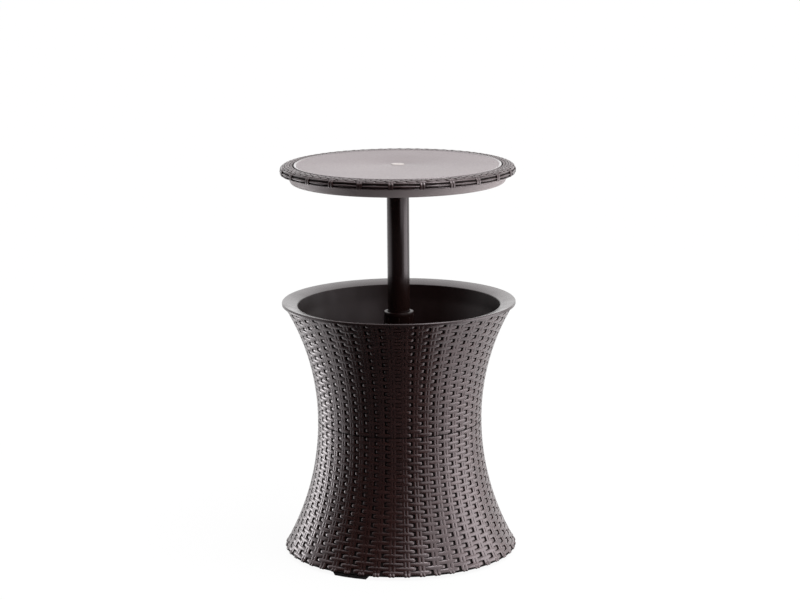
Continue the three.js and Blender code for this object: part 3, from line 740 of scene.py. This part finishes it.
def tone_strands(piece, corners_each, seed, low=0.0, high=1.0):
    """Gives each strand a tone of its own, and the mat a UV map along and across."""
    mesh = piece.data
    count = len(mesh.vertices)
    tones = np.random.default_rng(seed).uniform(low, high, count // corners_each + 1)
    tone_of_corner = tones[np.arange(count) // corners_each].astype(np.float32)
    attribute = mesh.attributes.new("strand_tone", "FLOAT", "POINT")
    attribute.data.foreach_set("value", tone_of_corner)
    flat = np.zeros(count * 3, np.float32)
    mesh.vertices.foreach_get("co", flat)
    corner_of_loop = np.zeros(len(mesh.loops), np.int32)
    mesh.loops.foreach_get("vertex_index", corner_of_loop)
    layer = mesh.uv_layers[0] if mesh.uv_layers else mesh.uv_layers.new(name="mat")
    layer.name = "mat"
    layer.data.foreach_set("uv", flat.reshape(-1, 3)[corner_of_loop][:, :2].ravel())
    return piece


def wrap(piece, path, first_azimuth):
    """Bends a flat mat round the upright axis. path gives radius, height and outward direction."""
    mesh = piece.data
    flat = np.zeros(len(mesh.vertices) * 3, np.float32)
    mesh.vertices.foreach_get("co", flat)
    x, y, z = flat.reshape(-1, 3).T.astype(float) * 1000
    azimuth = x / mat_radius + math.radians(first_azimuth)
    radius, height, out_radius, out_height = path(y)
    radius = radius + z * out_radius
    height = height + z * out_height
    bent = np.stack([radius * np.sin(azimuth), -radius * np.cos(azimuth), height], 1) / 1000
    mesh.vertices.foreach_set("co", bent.astype(np.float32).ravel())
    mesh.update()
    return piece


# %% Lay out the ribs and the rows
rib_seed = 47
hand_seed = {1: 110, -1: 10}


def rib_pair(name, copies, spacing, **sizes):
    """Two ribs side by side, repeated round the mat; returns one mat of each."""
    mats = []
    for side in (-1, 1):
        stake = rib(f"{name}_{side}", **sizes)
        corners = len(stake.data.vertices)
        shift_mesh(stake, (spacing * side, 0, 0))
        repeat_in_row(stake, copies, (2 * math.pi * mm(mat_radius) / copies, 0, 0))
        mats.append(tone_strands(stake, corners, rib_seed + copies + side, low=0.3))
    return mats


def woven_mat(name, row_count, first_row_on_even, seed):
    """A flat mat of strands over stakes, one row up for each row pitch."""
    pieces = []
    quarter = math.pi * mat_radius / 2
    for parity, hand in ((0, 1), (0, -1), (1, 1), (1, -1)):
        row = strand(f"{name}_row_{parity}", hand=hand, **body_strand)
        shifted = parity == (1 if first_row_on_even else 0)
        across = (stake_pitch if shifted else 0) + (quarter if hand < 0 else 0)
        shift_mesh(row, (across, row_pitch * (parity + 0.5), 0))
        repeat_in_row(row, stake_count // 8, (mm(2 * stake_pitch), 0, 0))
        repeat_in_row(row, 2, (mm(2 * quarter), 0, 0))
        repeat_in_row(row, (row_count + 1 - parity) // 2, (0, mm(2 * row_pitch), 0))
        pieces.append(tone_strands(row, strand_corners, seed + parity + hand_seed[hand]))
    pieces += rib_pair(
        f"{name}_rib", stake_count, spacing=3.35, half_width=2.75, start=-0.3,
        end=row_count * row_pitch, pieces=row_count, crown=-0.3, shoulder=0.35, depth=2.2,
    )
    return join_pieces(name, pieces)


# %% [markdown]
# ## Lower shell
# The lower half of the body is one moulding: a thin wall that flares to the floor, a ledge that
# the tub's floor stands on, and a flange that turns in at the base and carries the feet. Its
# outside is the weave. The wall is spun a little inside the curve, and the woven mat is wrapped
# round it. The rows are closer at the waist than at the base, as on the real one.

# %% Space the rows of the lower shell
stake_azimuth = 2.9
lower_rows, level_rows = 33, 14
lowest_row, level_pitch, seam_gap = -286.2, 8.98, 0.8
row_edges = np.concatenate([
    lowest_row + level_pitch * np.arange(level_rows),
    np.linspace(lowest_row + level_pitch * level_rows, -seam_gap, lower_rows + 1 - level_rows),
])
print("rows at the seam are", round(row_edges[-1] - row_edges[-2], 2), "mm high")


def lower_path(y):
    along = np.interp(y / row_pitch, np.arange(lower_rows + 1), row_edges)
    below = np.minimum(y / row_pitch, 0) * level_pitch
    return body_point(along + below)


# %% Build the lower shell
wall_depth, shell_wall, seam_inset = 3.0, 5.0, 0.2
edge_strand_radius, edge_strand_height, edge_strand_half = 245.6, foot_height + 1.9, 1.5


def seam_point(height):
    return body_radius(height, seam_inset), height


def lower_wall():
    """Half section of the plain wall, its ledge, its flange and the strand along its edge."""
    ledge_top, ledge_low, ledge_bore = 242.7, 238.7, 152.2
    flange_top, flange_bore = foot_height + shell_wall, 222.0
    seam_low, seam_top = 284.3, 284.7
    outside = body_curve(foot_height + 6, 284.2, wall_depth, 22)
    top = [seam_point(seam_low), seam_point(seam_top)]
    inside = [(body_radius(height, shell_wall), height) for height in (seam_top, ledge_top)]
    ledge = [(ledge_bore, ledge_top), (ledge_bore, ledge_low)]
    liner = body_curve(ledge_low, flange_top, shell_wall, 16)
    flange = [(flange_bore, flange_top), (flange_bore, foot_height)]
    edge_strand = [
        (
            edge_strand_radius + edge_strand_half * math.sin(angle),
            edge_strand_height - edge_strand_half * math.cos(angle),
        )
        for angle in (math.pi * i / 8 for i in range(9))
    ]
    slot = [(244.0, foot_height + 3.6), (243.6, foot_height + 4.6)]
    return outside + top + inside + ledge + liner + flange + edge_strand + slot


lower_shell = spun("lower_shell_wall", lower_wall(), steps=144)
# The wall's nearly black colour is painted shade in the gaps of the weave.
lower_shell.data.materials.append(wall.material)
lower_mat = woven_mat("lower_weave", lower_rows, False, seed=11)


def finish_mat(mat, path, first_azimuth, finish):
    """Wraps a mat round its wall, gives it its finish and shades it."""
    wrap(mat, path, first_azimuth)
    mat.data.materials.append(finish.material)
    return shade_round(mat, 50)


finish_mat(lower_mat, lower_path, stake_azimuth, woven)
print("faces of the wall:", len(lower_shell.data.polygons))
print("faces of the weave:", len(lower_mat.data.polygons))

# %% [markdown]
# At the foot of the wall a thin strand runs round the edge, and each stake is wrapped once over
# it. From outside the wraps show as a row of small knots with dark slots between them. The
# path that they follow needs rounded corners, so a corner-cutting helper comes first.

# %% A path over a rounded section


def smooth_path(corners, rounds=3):
    """Cuts the corners of an outline, and gives a path over it as a function of its length."""
    line = np.array(corners, float)
    for _ in range(rounds):
        here, there = line[:-1], line[1:]
        cut = [here * 0.75 + there * 0.25, here * 0.25 + there * 0.75]
        cut = np.stack(cut, 1).reshape(-1, 2)
        line = np.concatenate([line[:1], cut, line[-1:]])
    reach = np.concatenate([[0], np.cumsum(np.hypot(*np.diff(line, axis=0).T))])
    ahead = np.gradient(line, reach, axis=0)
    out_radius, out_height = ahead[:, 1], -ahead[:, 0]

    def path(y):
        spots = np.clip(y, 0, reach[-1])
        beyond = y - spots
        slope = [np.interp(spots, reach, ahead[:, i]) for i in (0, 1)]
        return (
            np.interp(spots, reach, line[:, 0]) + beyond * slope[0],
            np.interp(spots, reach, line[:, 1]) + beyond * slope[1],
            np.interp(spots, reach, out_radius),
            np.interp(spots, reach, out_height),
        )

    return path, reach[-1]


# %% Wrap the stakes over the edge
knot_corners = [(244.6, 7.3), (246.6, 6.75), (248.3, 6.7), (248.6, 8.4), (248.4, 10.2),
                (246.6, 12.6), (245.0, 14.6)]
knot_path, knot_girth = smooth_path(knot_corners)
knots = join_pieces("edge_knots", rib_pair(
    "knot", stake_count, spacing=2.7, half_width=2.5, start=0, end=knot_girth, pieces=12,
    crown=0, shoulder=0.9, depth=1.2,
))
finish_mat(knots, knot_path, stake_azimuth, woven)
lower_shell = join_pieces("lower_shell", [lower_shell, lower_mat, knots])
place(lower_shell, "body", "woven_plastic", ["lower_body_shell"])

# %% [markdown]
# ## Upper shell
# The upper half is a second moulding. Its foot is a plain spigot that slides into the lower
# shell, and its top edge is hidden under the tub's rim. It is made in the same way, with rows
# that open a little towards the rim, and its first row carries on the pattern from below.

# %% Build the upper shell
upper_rows, rim_gap = 31, 0.6
pitches = np.linspace(8.2, 8.8, upper_rows)
row_shares = np.concatenate([[0], np.cumsum(pitches)]) / pitches.sum()
upper_edges = seam_gap + row_shares * (upper_length - seam_gap - rim_gap)


def upper_path(y):
    return body_point(np.interp(y / row_pitch, np.arange(upper_rows + 1), upper_edges))


def upper_wall():
    """Half section of the plain wall and the spigot under it."""
    spigot_radius, spigot_bore, spigot_low = 169.7, 167.2, 271.0
    spigot_top = waist_height + 10
    return (
        [(spigot_radius, waist_height), seam_point(waist_height), seam_point(285.5)]
        + body_curve(285.8, shell_top, wall_depth, 20)
        + body_curve(shell_top, spigot_top, shell_wall, 14)
        + [(spigot_bore, spigot_top), (spigot_bore, spigot_low), (spigot_radius, spigot_low)]
    )


upper_shell = spun("upper_shell_wall", upper_wall(), steps=144)
# The wall's nearly black colour is painted shade in the gaps of the weave.
upper_shell.data.materials.append(wall.material)
upper_mat = woven_mat("upper_weave", upper_rows, True, seed=29)
finish_mat(upper_mat, upper_path, stake_azimuth, woven)
upper_shell = join_pieces("upper_shell", [upper_shell, upper_mat])
place(upper_shell, "body", "woven_plastic", ["upper_body_shell"])

# %% [markdown]
# ## Tub
# The tub is a smooth bucket inside the body. Its rim hooks over the upper shell, a sloping band
# runs down from it to the mouth, and the wall then follows the body's curve to a floor with
# rounded corners. One section gives all of it. The arcs are drawn finely, so that the gloss
# runs over them without a break. The faces below the mouth then get their own, duller finish,
# whose darker colour is painted shade inside the tub.

# %% A tub's corner and where its wall meets its band
rim_radius, rim_height = 247.5, 542.0
tub_floor, tub_thickness, tub_bore = 246.0, 3.0, 28.3
tub_inset = 11.8
tub_radius = waist_radius - tub_inset
mouth_radius, band_low, band_outer = 216.0, 534.0, 246.0
hook_radius, hook_top = 245.3, 537.5


def corner_arc(wall_radius, floor, corner, steps=6):
    """A rounded corner between an upright wall and a floor."""
    angles = [math.pi / 2 * i / steps for i in range(steps + 1)]
    return [
        (wall_radius - corner + corner * math.cos(a), floor + corner - corner * math.sin(a))
        for a in angles
    ]


wall_top_radius = mouth_radius - 4 + tub_thickness
joint_height = waist_height + math.sqrt(
    (upper_arc + tub_inset) ** 2 - (waist_radius + upper_arc - wall_top_radius) ** 2
)
print("the tub's wall meets its band at mm:", round(joint_height, 1))

# %% Build the tub
inside = (
    [(tub_bore, tub_floor)]
    + corner_arc(tub_radius - tub_thickness, tub_floor, 9)[::-1]
    + body_curve(waist_height, joint_height, tub_inset + tub_thickness, 18)
)
band = [
    (mouth_radius - 1.6, band_low - 0.9), (mouth_radius, band_low), (band_outer, rim_height),
    (rim_radius, rim_height - 1.5), (rim_radius, 536.3), (247.0, 535.9), (hook_radius, 535.9),
    (hook_radius, hook_top), (238.3, hook_top), (mouth_radius + 3, band_low - 3),
]
outside = (
    body_curve(joint_height, waist_height, tub_inset, 14)
    + corner_arc(tub_radius, tub_floor - tub_thickness, 12)
    + [(tub_bore, tub_floor - tub_thickness)]
)
tub = spun("inner_tub_smooth", inside + band + outside, steps=160, soft=0.5)
place(tub, "body", "tub_plastic", ["inner_tub"])


def give_faces(piece, finish, test):
    """Gives a second finish to the faces that pass a test."""
    piece.data.materials.append(finish.material)
    for face in piece.data.polygons:
        face.material_index = 1 if test(face) else 0


def is_shaded_within(face):
    from_axis = math.hypot(face.center.x, face.center.y)
    return from_axis < mm(mouth_radius - 0.6) and face.center.z < mm(band_low)


# The faces within the mouth get the darker, duller finish: painted shade inside the tub.
give_faces(tub, inside_shade_skin, is_shaded_within)

# %% [markdown]
# ## Ring of the table
# The edge of the table top is a woven border too: long leaf-shaped strands lie round its side
# and over its shoulder, a double wrap binds them every 15 degrees, and a row of small turns
# closes it against the disc. The strands again lie on a flat mat, and this time the path that
# they are wrapped along is the ring's own rounded section.

# %% The ring's section
table_base = 796.1667
ring_corners = [(246.2, 18.7), (247.7, 21.0), (248.0, 24.5), (247.9, 28.5), (246.2, 32.2),
                (241.5, 35.8), (234.0, 37.8), (227.0, 37.6), (219.2, 36.5)]
ring_path, ring_girth = smooth_path(ring_corners)
print("girth of the ring's section, mm:", round(ring_girth, 1))


def table_path(y):
    radius, height, out_radius, out_height = ring_path(y)
    return radius, height + table_base, out_radius, out_height


# %% Build the ring's core
core_depth, end_depth = 2.6, 1.2


def ring_core():
    """Half section of the plain channel under the strands, with the ledge that carries the disc."""
    spots = np.linspace(0.6, ring_girth - 0.3, 26)
    radius, height, out_radius, out_height = ring_path(spots)
    turns = [0, ring_girth - 5, ring_girth]
    depth = np.interp(spots, turns, [core_depth, core_depth, end_depth])
    channel_outside = list(zip(radius - depth * out_radius, height - depth * out_height))
    channel_inside = [(218.3, 31.7), (211.3, 31.7), (211.3, 28.7), (222.3, 28.7),
                      (222.3, 34.0), (243.0, 33.0), (243.0, 19.2)]
    return [(r, z + table_base) for r, z in channel_outside + channel_inside]


ring = spun("ring_core", ring_core(), steps=144)
# The core takes the same nearly black painted shade, seen in the gaps between the ring's strands.
ring.data.materials.append(wall.material)
print("faces of the ring's core:", len(ring.data.polygons))

# %% Lay the strands of the ring
bay_count, ring_azimuth = 24, -3.4
leaf_places = [-1.0, -0.9, -0.7, -0.36, 0, 0.36, 0.7, 0.9, 1.0]
leaf_heights = [0.25, 0.46, 0.7, 0.92, 1.0, 0.92, 0.7, 0.46, 0.25]
leaf_drops = [2.1, 1.1, 0.5, 0.12, 0, 0.12, 0.5, 1.1, 2.1]
ring_rows = [
    # title, middle along the section, half height, half length, copies, shift in steps, turn,
    # drop of the outline, drop beside the middle
    ("foot", 1.4, 1.2, 24.6, bay_count, 0.5, 0, 0.6, 0.1),
    ("side", 7.3, 2.6, 25.8, bay_count, 0.5, 0, 1.5, 0.45),
    ("shoulder", 15.9, 2.4, 27.6, bay_count, 0.5, 0, 0.8, 0.08),
    ("outer", 21.2, 2.7, 9.2, 3 * bay_count, 0.0, 4, 0.6, 0.04),
    ("middle", 26.9, 2.7, 9.0, 3 * bay_count, 0.5, -4, 0.6, 0.04),
    ("upper", 32.5, 2.6, 8.8, 3 * bay_count, 0.0, 4, 0.6, 0.04),
    ("inner", 38.3, 2.7, 5.2, 5 * bay_count, 0.0, 12, 0.6, 0.04),
]


def ring_strands(title, middle, half_height, half_length, copies, shift, turn, edge, beside):
    """One row of leaf-shaped strands, laid flat round the whole mat."""
    step = 2 * math.pi * mat_radius / copies
    places = [place * half_length for place in leaf_places]
    heights = [share * half_height for share in leaf_heights]
    piece = strand(f"ring_{title}", places, heights, leaf_drops, edge, beside, depth=1.2)
    corners = len(piece.data.vertices)
    shift_mesh(piece, (step * shift, middle, 0), turn)
    repeat_in_row(piece, copies, (mm(step), 0, 0))
    return tone_strands(piece, corners, copies + round(middle))


ring_parts = [ring_strands(*row) for row in ring_rows]
ring_parts += rib_pair(
    "ring_wrap", bay_count, spacing=2.35, half_width=1.9, start=0.2, end=18.0, pieces=14,
    crown=-0.2, shoulder=0.4, depth=2.0,
)
ring_mat = join_pieces("ring_strands", ring_parts)
finish_mat(ring_mat, table_path, ring_azimuth, ring_cane)
ring = join_pieces("table_ring", [ring, ring_mat])
place(ring, "table", "woven_plastic", ["table_woven_ring"])

# %% [markdown]
# ## Lid, disc and cap
# Under the ring sits the lid, a smooth dish that closes the tub when the table is down. The disc
# lies in the ring, with a small bead at its edge that keeps spills on it, and a cap hides the
# bolt in its middle. All three are turned forms.

# %% Build the lid, the disc and the cap
bead_start = 213.2


def at_table(section):
    return [(radius, height + table_base) for radius, height in section]


def is_bead(face):
    return math.hypot(face.center.x, face.center.y) > mm(bead_start) and face.normal.z > 0.1


lid_section = at_table([
    (23.8, 0), (218, 0), (221.5, 0.25), (224.3, 1.1), (226.1, 2.9), (227.0, 5.0), (229.4, 9.6),
    (232.2, 14.8), (234.4, 18.9), (235.4, 20.9), (236, 22.5), (236, 33.7), (233, 33.7), (233, 22.5),
    (223.4, 6), (220, 3), (23.8, 3),
])
lid = spun("table_lid_smooth", lid_section, steps=192, soft=0.4)
place(lid, "table", "lid_plastic", ["table_lid"])

disc_section = at_table([
    (4.25, 26), (20, 26), (20, 32), (218.1, 32), (218.1, 36.6), (217.5, 37.3), (216.6, 37.6),
    (215.4, 37.4), (214.4, 36.8), (213.4, 36.2), (212.0, 36), (14.3, 36), (14.3, 31.7),
    (4.25, 31.7),
])
disc = spun("table_disc_smooth", disc_section, steps=192, soft=0.25)
place(disc, "table", "disc_plastic", ["table_disc"])
give_faces(disc, bead_skin, is_bead)

cap_section = at_table([
    (9, 32), (14, 32), (14, 36.3), (13.3, 37), (4.4, 37), (3.6, 36.4), (2.6, 36.3), (0, 36.3),
    (0, 35.1), (9, 35.1),
])
cap = spun("centre_cap_smooth", cap_section, steps=64, soft=0.2)
place(cap, "table", "cap_plastic", ["centre_cap"])

# %% [markdown]
# ## Column
# The table's tube is glossy and slides in a wider tube that is fixed to the tub's floor. A collar
# on the fixed tube's mouth is twisted to clamp the sliding one: a bead on top, and below it a
# skirt with eight ribs for the fingers. The tubes could be cylinders with a wall modifier, but
# as half sections they come out exact, and one table then makes all the plain turned pieces.

# %% Build the tubes and the flange
column_pieces = [
    # title, body, finish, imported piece, steps, softening, section
    ("moving_tube", "table", "column_plastic", "column_moving_tube", 96, 0.3, [
        (21.5, 420.4), (23.5, 420.4), (23.5, 818.16), (21.5, 818.16),
    ]),
    ("fixed_tube", "body", "column_plastic", "column_outer_tube", 96, 0.3, [
        (25.5, 146.4), (28, 146.4), (28, 506.4), (25.5, 506.4),
    ]),
    ("foot_flange", "body", "column_plastic", "column_foot_flange", 96, 0.3, [
        (28.3, 248.1), (60, 248.1), (60, 251.2), (59.1, 252.1), (37.5, 252.1), (35.2, 252.7),
        (33.9, 254.2), (33.3, 256.5), (33.3, 277.1), (32.3, 278.1), (28.3, 278.1),
    ]),
    ("end_cap", "body", "inner_plastic", "column_end_cap", 72, 0.2, [
        (0, 142.1), (29.2, 142.1), (30.3, 143.2), (30.3, 156.1), (28.3, 156.1), (28.3, 146.1),
        (0, 146.1),
    ]),
    ("back_plate", "body", "inner_plastic", "column_back_plate", 72, 0.6, [
        (28.3, 234.7), (60, 234.7), (60, 242.7), (28.3, 242.7),
    ]),
    ("flange_gasket", "body", "rubber", "column_gasket", 72, 0.2, [
        (28.3, 246.3), (60, 246.3), (60, 247.8), (28.3, 247.8),
    ]),
]
for title, body, slot, stands_for, steps, soft, section in column_pieces:
    place(spun(title, section, steps, soft), body, slot, [stands_for])

# %% Build the collar
collar = spun("collar_bead", [
    (24.4, 517), (24.4, 518.2), (25.2, 519), (29.4, 519), (30.7, 518.4), (31.4, 517.1),
    (31.5, 514), (31.4, 510.9), (30.8, 509.4), (30.4, 508), (30.4, 480), (29.9, 479), (28.5, 479),
    (28.5, 510.7), (27.2, 517),
], steps=96)
grip_count, grip_radius, grip_length = 8, 1.3, 28.8
skirt_radius, grip_middle = 30.4, 494.6
grips = []
for i in range(grip_count):
    across, ahead, _ = direction(360 * i / grip_count)
    clear_selection()
    bpy.ops.mesh.primitive_cylinder_add(
        vertices=16, radius=mm(grip_radius), depth=mm(grip_length),
        location=(mm(skirt_radius) * across, mm(skirt_radius) * ahead, mm(grip_middle)),
    )
    grip = newest(f"collar_grip_{i + 1}")
    bpy.ops.object.transform_apply(location=True, rotation=True, scale=True)
    grips.append(shade_round(soften_edges(grip, 0.5)))
collar = join_pieces("twist_collar", [collar] + grips)
place(collar, "collar", "column_plastic", ["column_twist_collar"], collar_skin)

# %% [markdown]
# ## Drain
# Melt water leaves through a drain in the tub's floor, behind the column. Its fitting is a
# flanged stem with a nut under the floor, and a rubber plug with a pull ring closes it. The ring
# is a plain torus, as a moulded pull ring is.

# %% Build the drain
drain_place = (0, 105)
pull_radius, pull_thickness, pull_middle = 6.3, 1.5, 260.6

fitting = spun("drain_flange", [
    (8, 222), (11.6, 222), (11.6, 248.1), (17, 248.1), (17, 249.8), (16.2, 250.6), (8.6, 250.6),
    (8, 250.0),
], steps=64, soft=0.2, axis_point=drain_place)
place(fitting, "body", "inner_plastic", ["drain_fitting"])

washer = spun("drain_washer", [
    (11.9, 246.3), (17, 246.3), (17, 247.8), (11.9, 247.8),
], steps=48, soft=0.2, axis_point=drain_place)
place(washer, "body", "rubber", ["drain_gasket"])

plug = spun("plug_head", [
    (0, 238.9), (6.6, 238.9), (7.4, 239.9), (7.4, 250.9), (13, 250.9), (13, 253.4), (12.2, 254.4),
    (0, 254.4),
], steps=48, soft=0.2, axis_point=drain_place)
clear_selection()
bpy.ops.mesh.primitive_torus_add(
    major_segments=40, minor_segments=12,
    major_radius=mm(pull_radius), minor_radius=mm(pull_thickness),
    location=(mm(drain_place[0]), mm(drain_place[1]), mm(pull_middle)),
    rotation=(math.pi / 2, 0, 0),
)
pull_ring = newest("plug_pull_ring")
bpy.ops.object.transform_apply(location=True, rotation=True, scale=True)
plug = join_pieces("drain_plug_rubber", [plug, shade_round(pull_ring)])
place(plug, "drain_plug", "rubber", ["drain_plug"])

# %% [markdown]
# ## Screws
# Pan-head screws hold the column's flange, its socket and the feet. One is modelled for each
# length: a short cylinder for the head, its top edge rounded and a hexagon recess cut by a
# boolean, with the shank inset and extruded from its seat. It is then copied to its neighbours,
# each copy with its own mesh.

# %% Model one screw
screw_head_radius, screw_head_height, screw_head_round, screw_shank_radius = 5, 3, 1.1, 2.2
recess_radius, recess_height, recess_middle = 2.2, 3.6, 3.3


def pan_screw(name, middle, seat, length, facing):
    """A pan-head screw in mm; facing is 1 for a head above its seat and -1 for one below it."""
    x, y = (mm(value) for value in middle)
    clear_selection()
    bpy.ops.mesh.primitive_cylinder_add(
        vertices=32, radius=mm(screw_head_radius), depth=mm(screw_head_height),
        location=(x, y, mm(seat + screw_head_height / 2 * facing)),
    )
    piece = newest(name)
    bpy.ops.object.transform_apply(location=True, rotation=True, scale=True)
    bpy.ops.object.mode_set(mode="EDIT")
    pick(piece, lambda centre: abs(centre.z - mm(seat)) < near, "FACE")
    bpy.ops.mesh.inset(thickness=mm(screw_head_radius - screw_shank_radius))
    bpy.ops.mesh.extrude_region_move(TRANSFORM_OT_translate={"value": (0, 0, -mm(length * facing))})
    top = mm(seat + screw_head_height * facing)
    pick(piece, lambda centre: abs(centre.z - top) < near, "EDGE")
    bpy.ops.mesh.bevel(offset=mm(screw_head_round), segments=4, affect="EDGES")
    bpy.ops.object.mode_set(mode="OBJECT")
    clear_selection()
    bpy.ops.mesh.primitive_cylinder_add(
        vertices=6, radius=mm(recess_radius), depth=mm(recess_height),
        location=(x, y, mm(seat + recess_middle * facing)),
    )
    recess = newest(name + "_recess")
    apply_modifier(piece, "BOOLEAN", operation="DIFFERENCE", object=recess, solver="EXACT")
    bpy.data.objects.remove(recess)
    return shade_round(piece)


# %% Copy the screws to their places


def copied(piece, name, shift):
    """A copy with a mesh of its own, moved in its mesh so that its origin stays at the centre."""
    make_active(piece)
    bpy.ops.object.duplicate(linked=False)
    bpy.ops.transform.translate(value=shift)
    bpy.ops.object.transform_apply(location=True, rotation=False, scale=False)
    return newest(name)


def middle_of(name):
    """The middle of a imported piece's underside, in metres."""
    low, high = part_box(name)
    return Vector(((low[0] + high[0]) / 2, (low[1] + high[1]) / 2, low[2]))


foot_names = [f"foot_screw_{i}_{side}" for i in (1, 2, 3) for side in ("left", "right")]
screw_sets = {
    "flange_screw": ("body", 1, [f"flange_screw_{i}" for i in range(1, 5)]),
    "socket_screw": ("table", -1, [f"socket_screw_{i}" for i in range(1, 5)]),
    "foot_screw": ("body", -1, foot_names),
}
for title, (body, facing, names) in screw_sets.items():
    low, high = (corner[2] * 1000 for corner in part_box(names[0]))
    seat = high - screw_head_height if facing == 1 else low + screw_head_height
    first_place = middle_of(names[0])
    middle = (first_place.x * 1000, first_place.y * 1000)
    shank = high - low - screw_head_height
    model = pan_screw(title + "_model", middle, seat, shank, facing)
    for name in names:
        screw = copied(model, name + "_turned", middle_of(name) - first_place)
        place(screw, body, "steel", [name])
    bpy.data.objects.remove(model)

# %% [markdown]
# ## Feet and inner pieces
# Three rubbery pads lift the body off the ground, and inside sit the nut, the glide, the collet,
# the socket, the plug and the bolt of the column. Their packed form is right, so they keep it,
# and a bevel modifier takes the sharpness off their edges. It stays live, because the packed
# meshes themselves aren't changed.

# %% Soften the feet and the inner pieces
softened = {
    "foot_pad_1": 0.8, "foot_pad_2": 0.8, "foot_pad_3": 0.8, "drain_nut": 0.6, "glide_sleeve": 0.4,
    "column_collet": 0.2, "column_socket": 0.5, "tube_top_plug": 0.4, "centre_bolt": 0.4,
}
for name, width in softened.items():
    modifier = frame["nodes"][name].modifiers.new("soft_edges", "BEVEL")
    modifier.width = mm(width)
    modifier.segments = 2
    modifier.limit_method = "ANGLE"
    modifier.angle_limit = math.radians(40)
print("packed pieces with softened edges:", len(softened))

# %% [markdown]
# ## Finish the scene
# The floor is a plain pale sheet. To the camera it glows a little, so that it meets the white
# surroundings, and it still takes the table's shadow. In the mouldings' reflections it is dark in
# front, like a sheet of black cloth that lies outside the picture, and white at the sides. Without
# that the flared upper half would mirror a white floor and lose its dark strip.

# %% Floor
floor_size, floor_glow, floor_glow_share = 80, 1.0, 0.93

bpy.ops.mesh.primitive_plane_add(size=floor_size)
floor = newest("studio_floor")
floor_skin = Finish("studio_floor", (0.85, 0.85, 0.85), 0.9)
tree = floor_skin.tree
pointer = add_node(
    tree, "VectorMath", [(0, floor_skin.places.outputs["Object"])], operation="NORMALIZE"
).outputs["Vector"]
whiteness = spread(
    tree, closeness(tree, pointer, cloth_direction), 1, 0, grade_start, grade_end
)
to_camera = add_node(tree, "LightPath").outputs["Is Camera Ray"]
pale = calculated(tree, "MAXIMUM", whiteness, to_camera)
floor_skin.colour_between(pale, (0.02, 0.02, 0.02), (0.85, 0.85, 0.85))
glow = add_node(tree, "Emission", [("Strength", floor_glow)])
blend = add_node(tree, "MixShader", [
    ("Fac", calculated(tree, "MULTIPLY", to_camera, floor_glow_share)),
    (1, floor_skin.shader.outputs["BSDF"]),
    (2, glow.outputs["Emission"]),
])
tree.links.new(blend.outputs["Shader"], tree.nodes["Material Output"].inputs["Surface"])
floor.data.materials.append(floor_skin.material)
print("nodes of the floor:", len(tree.nodes))
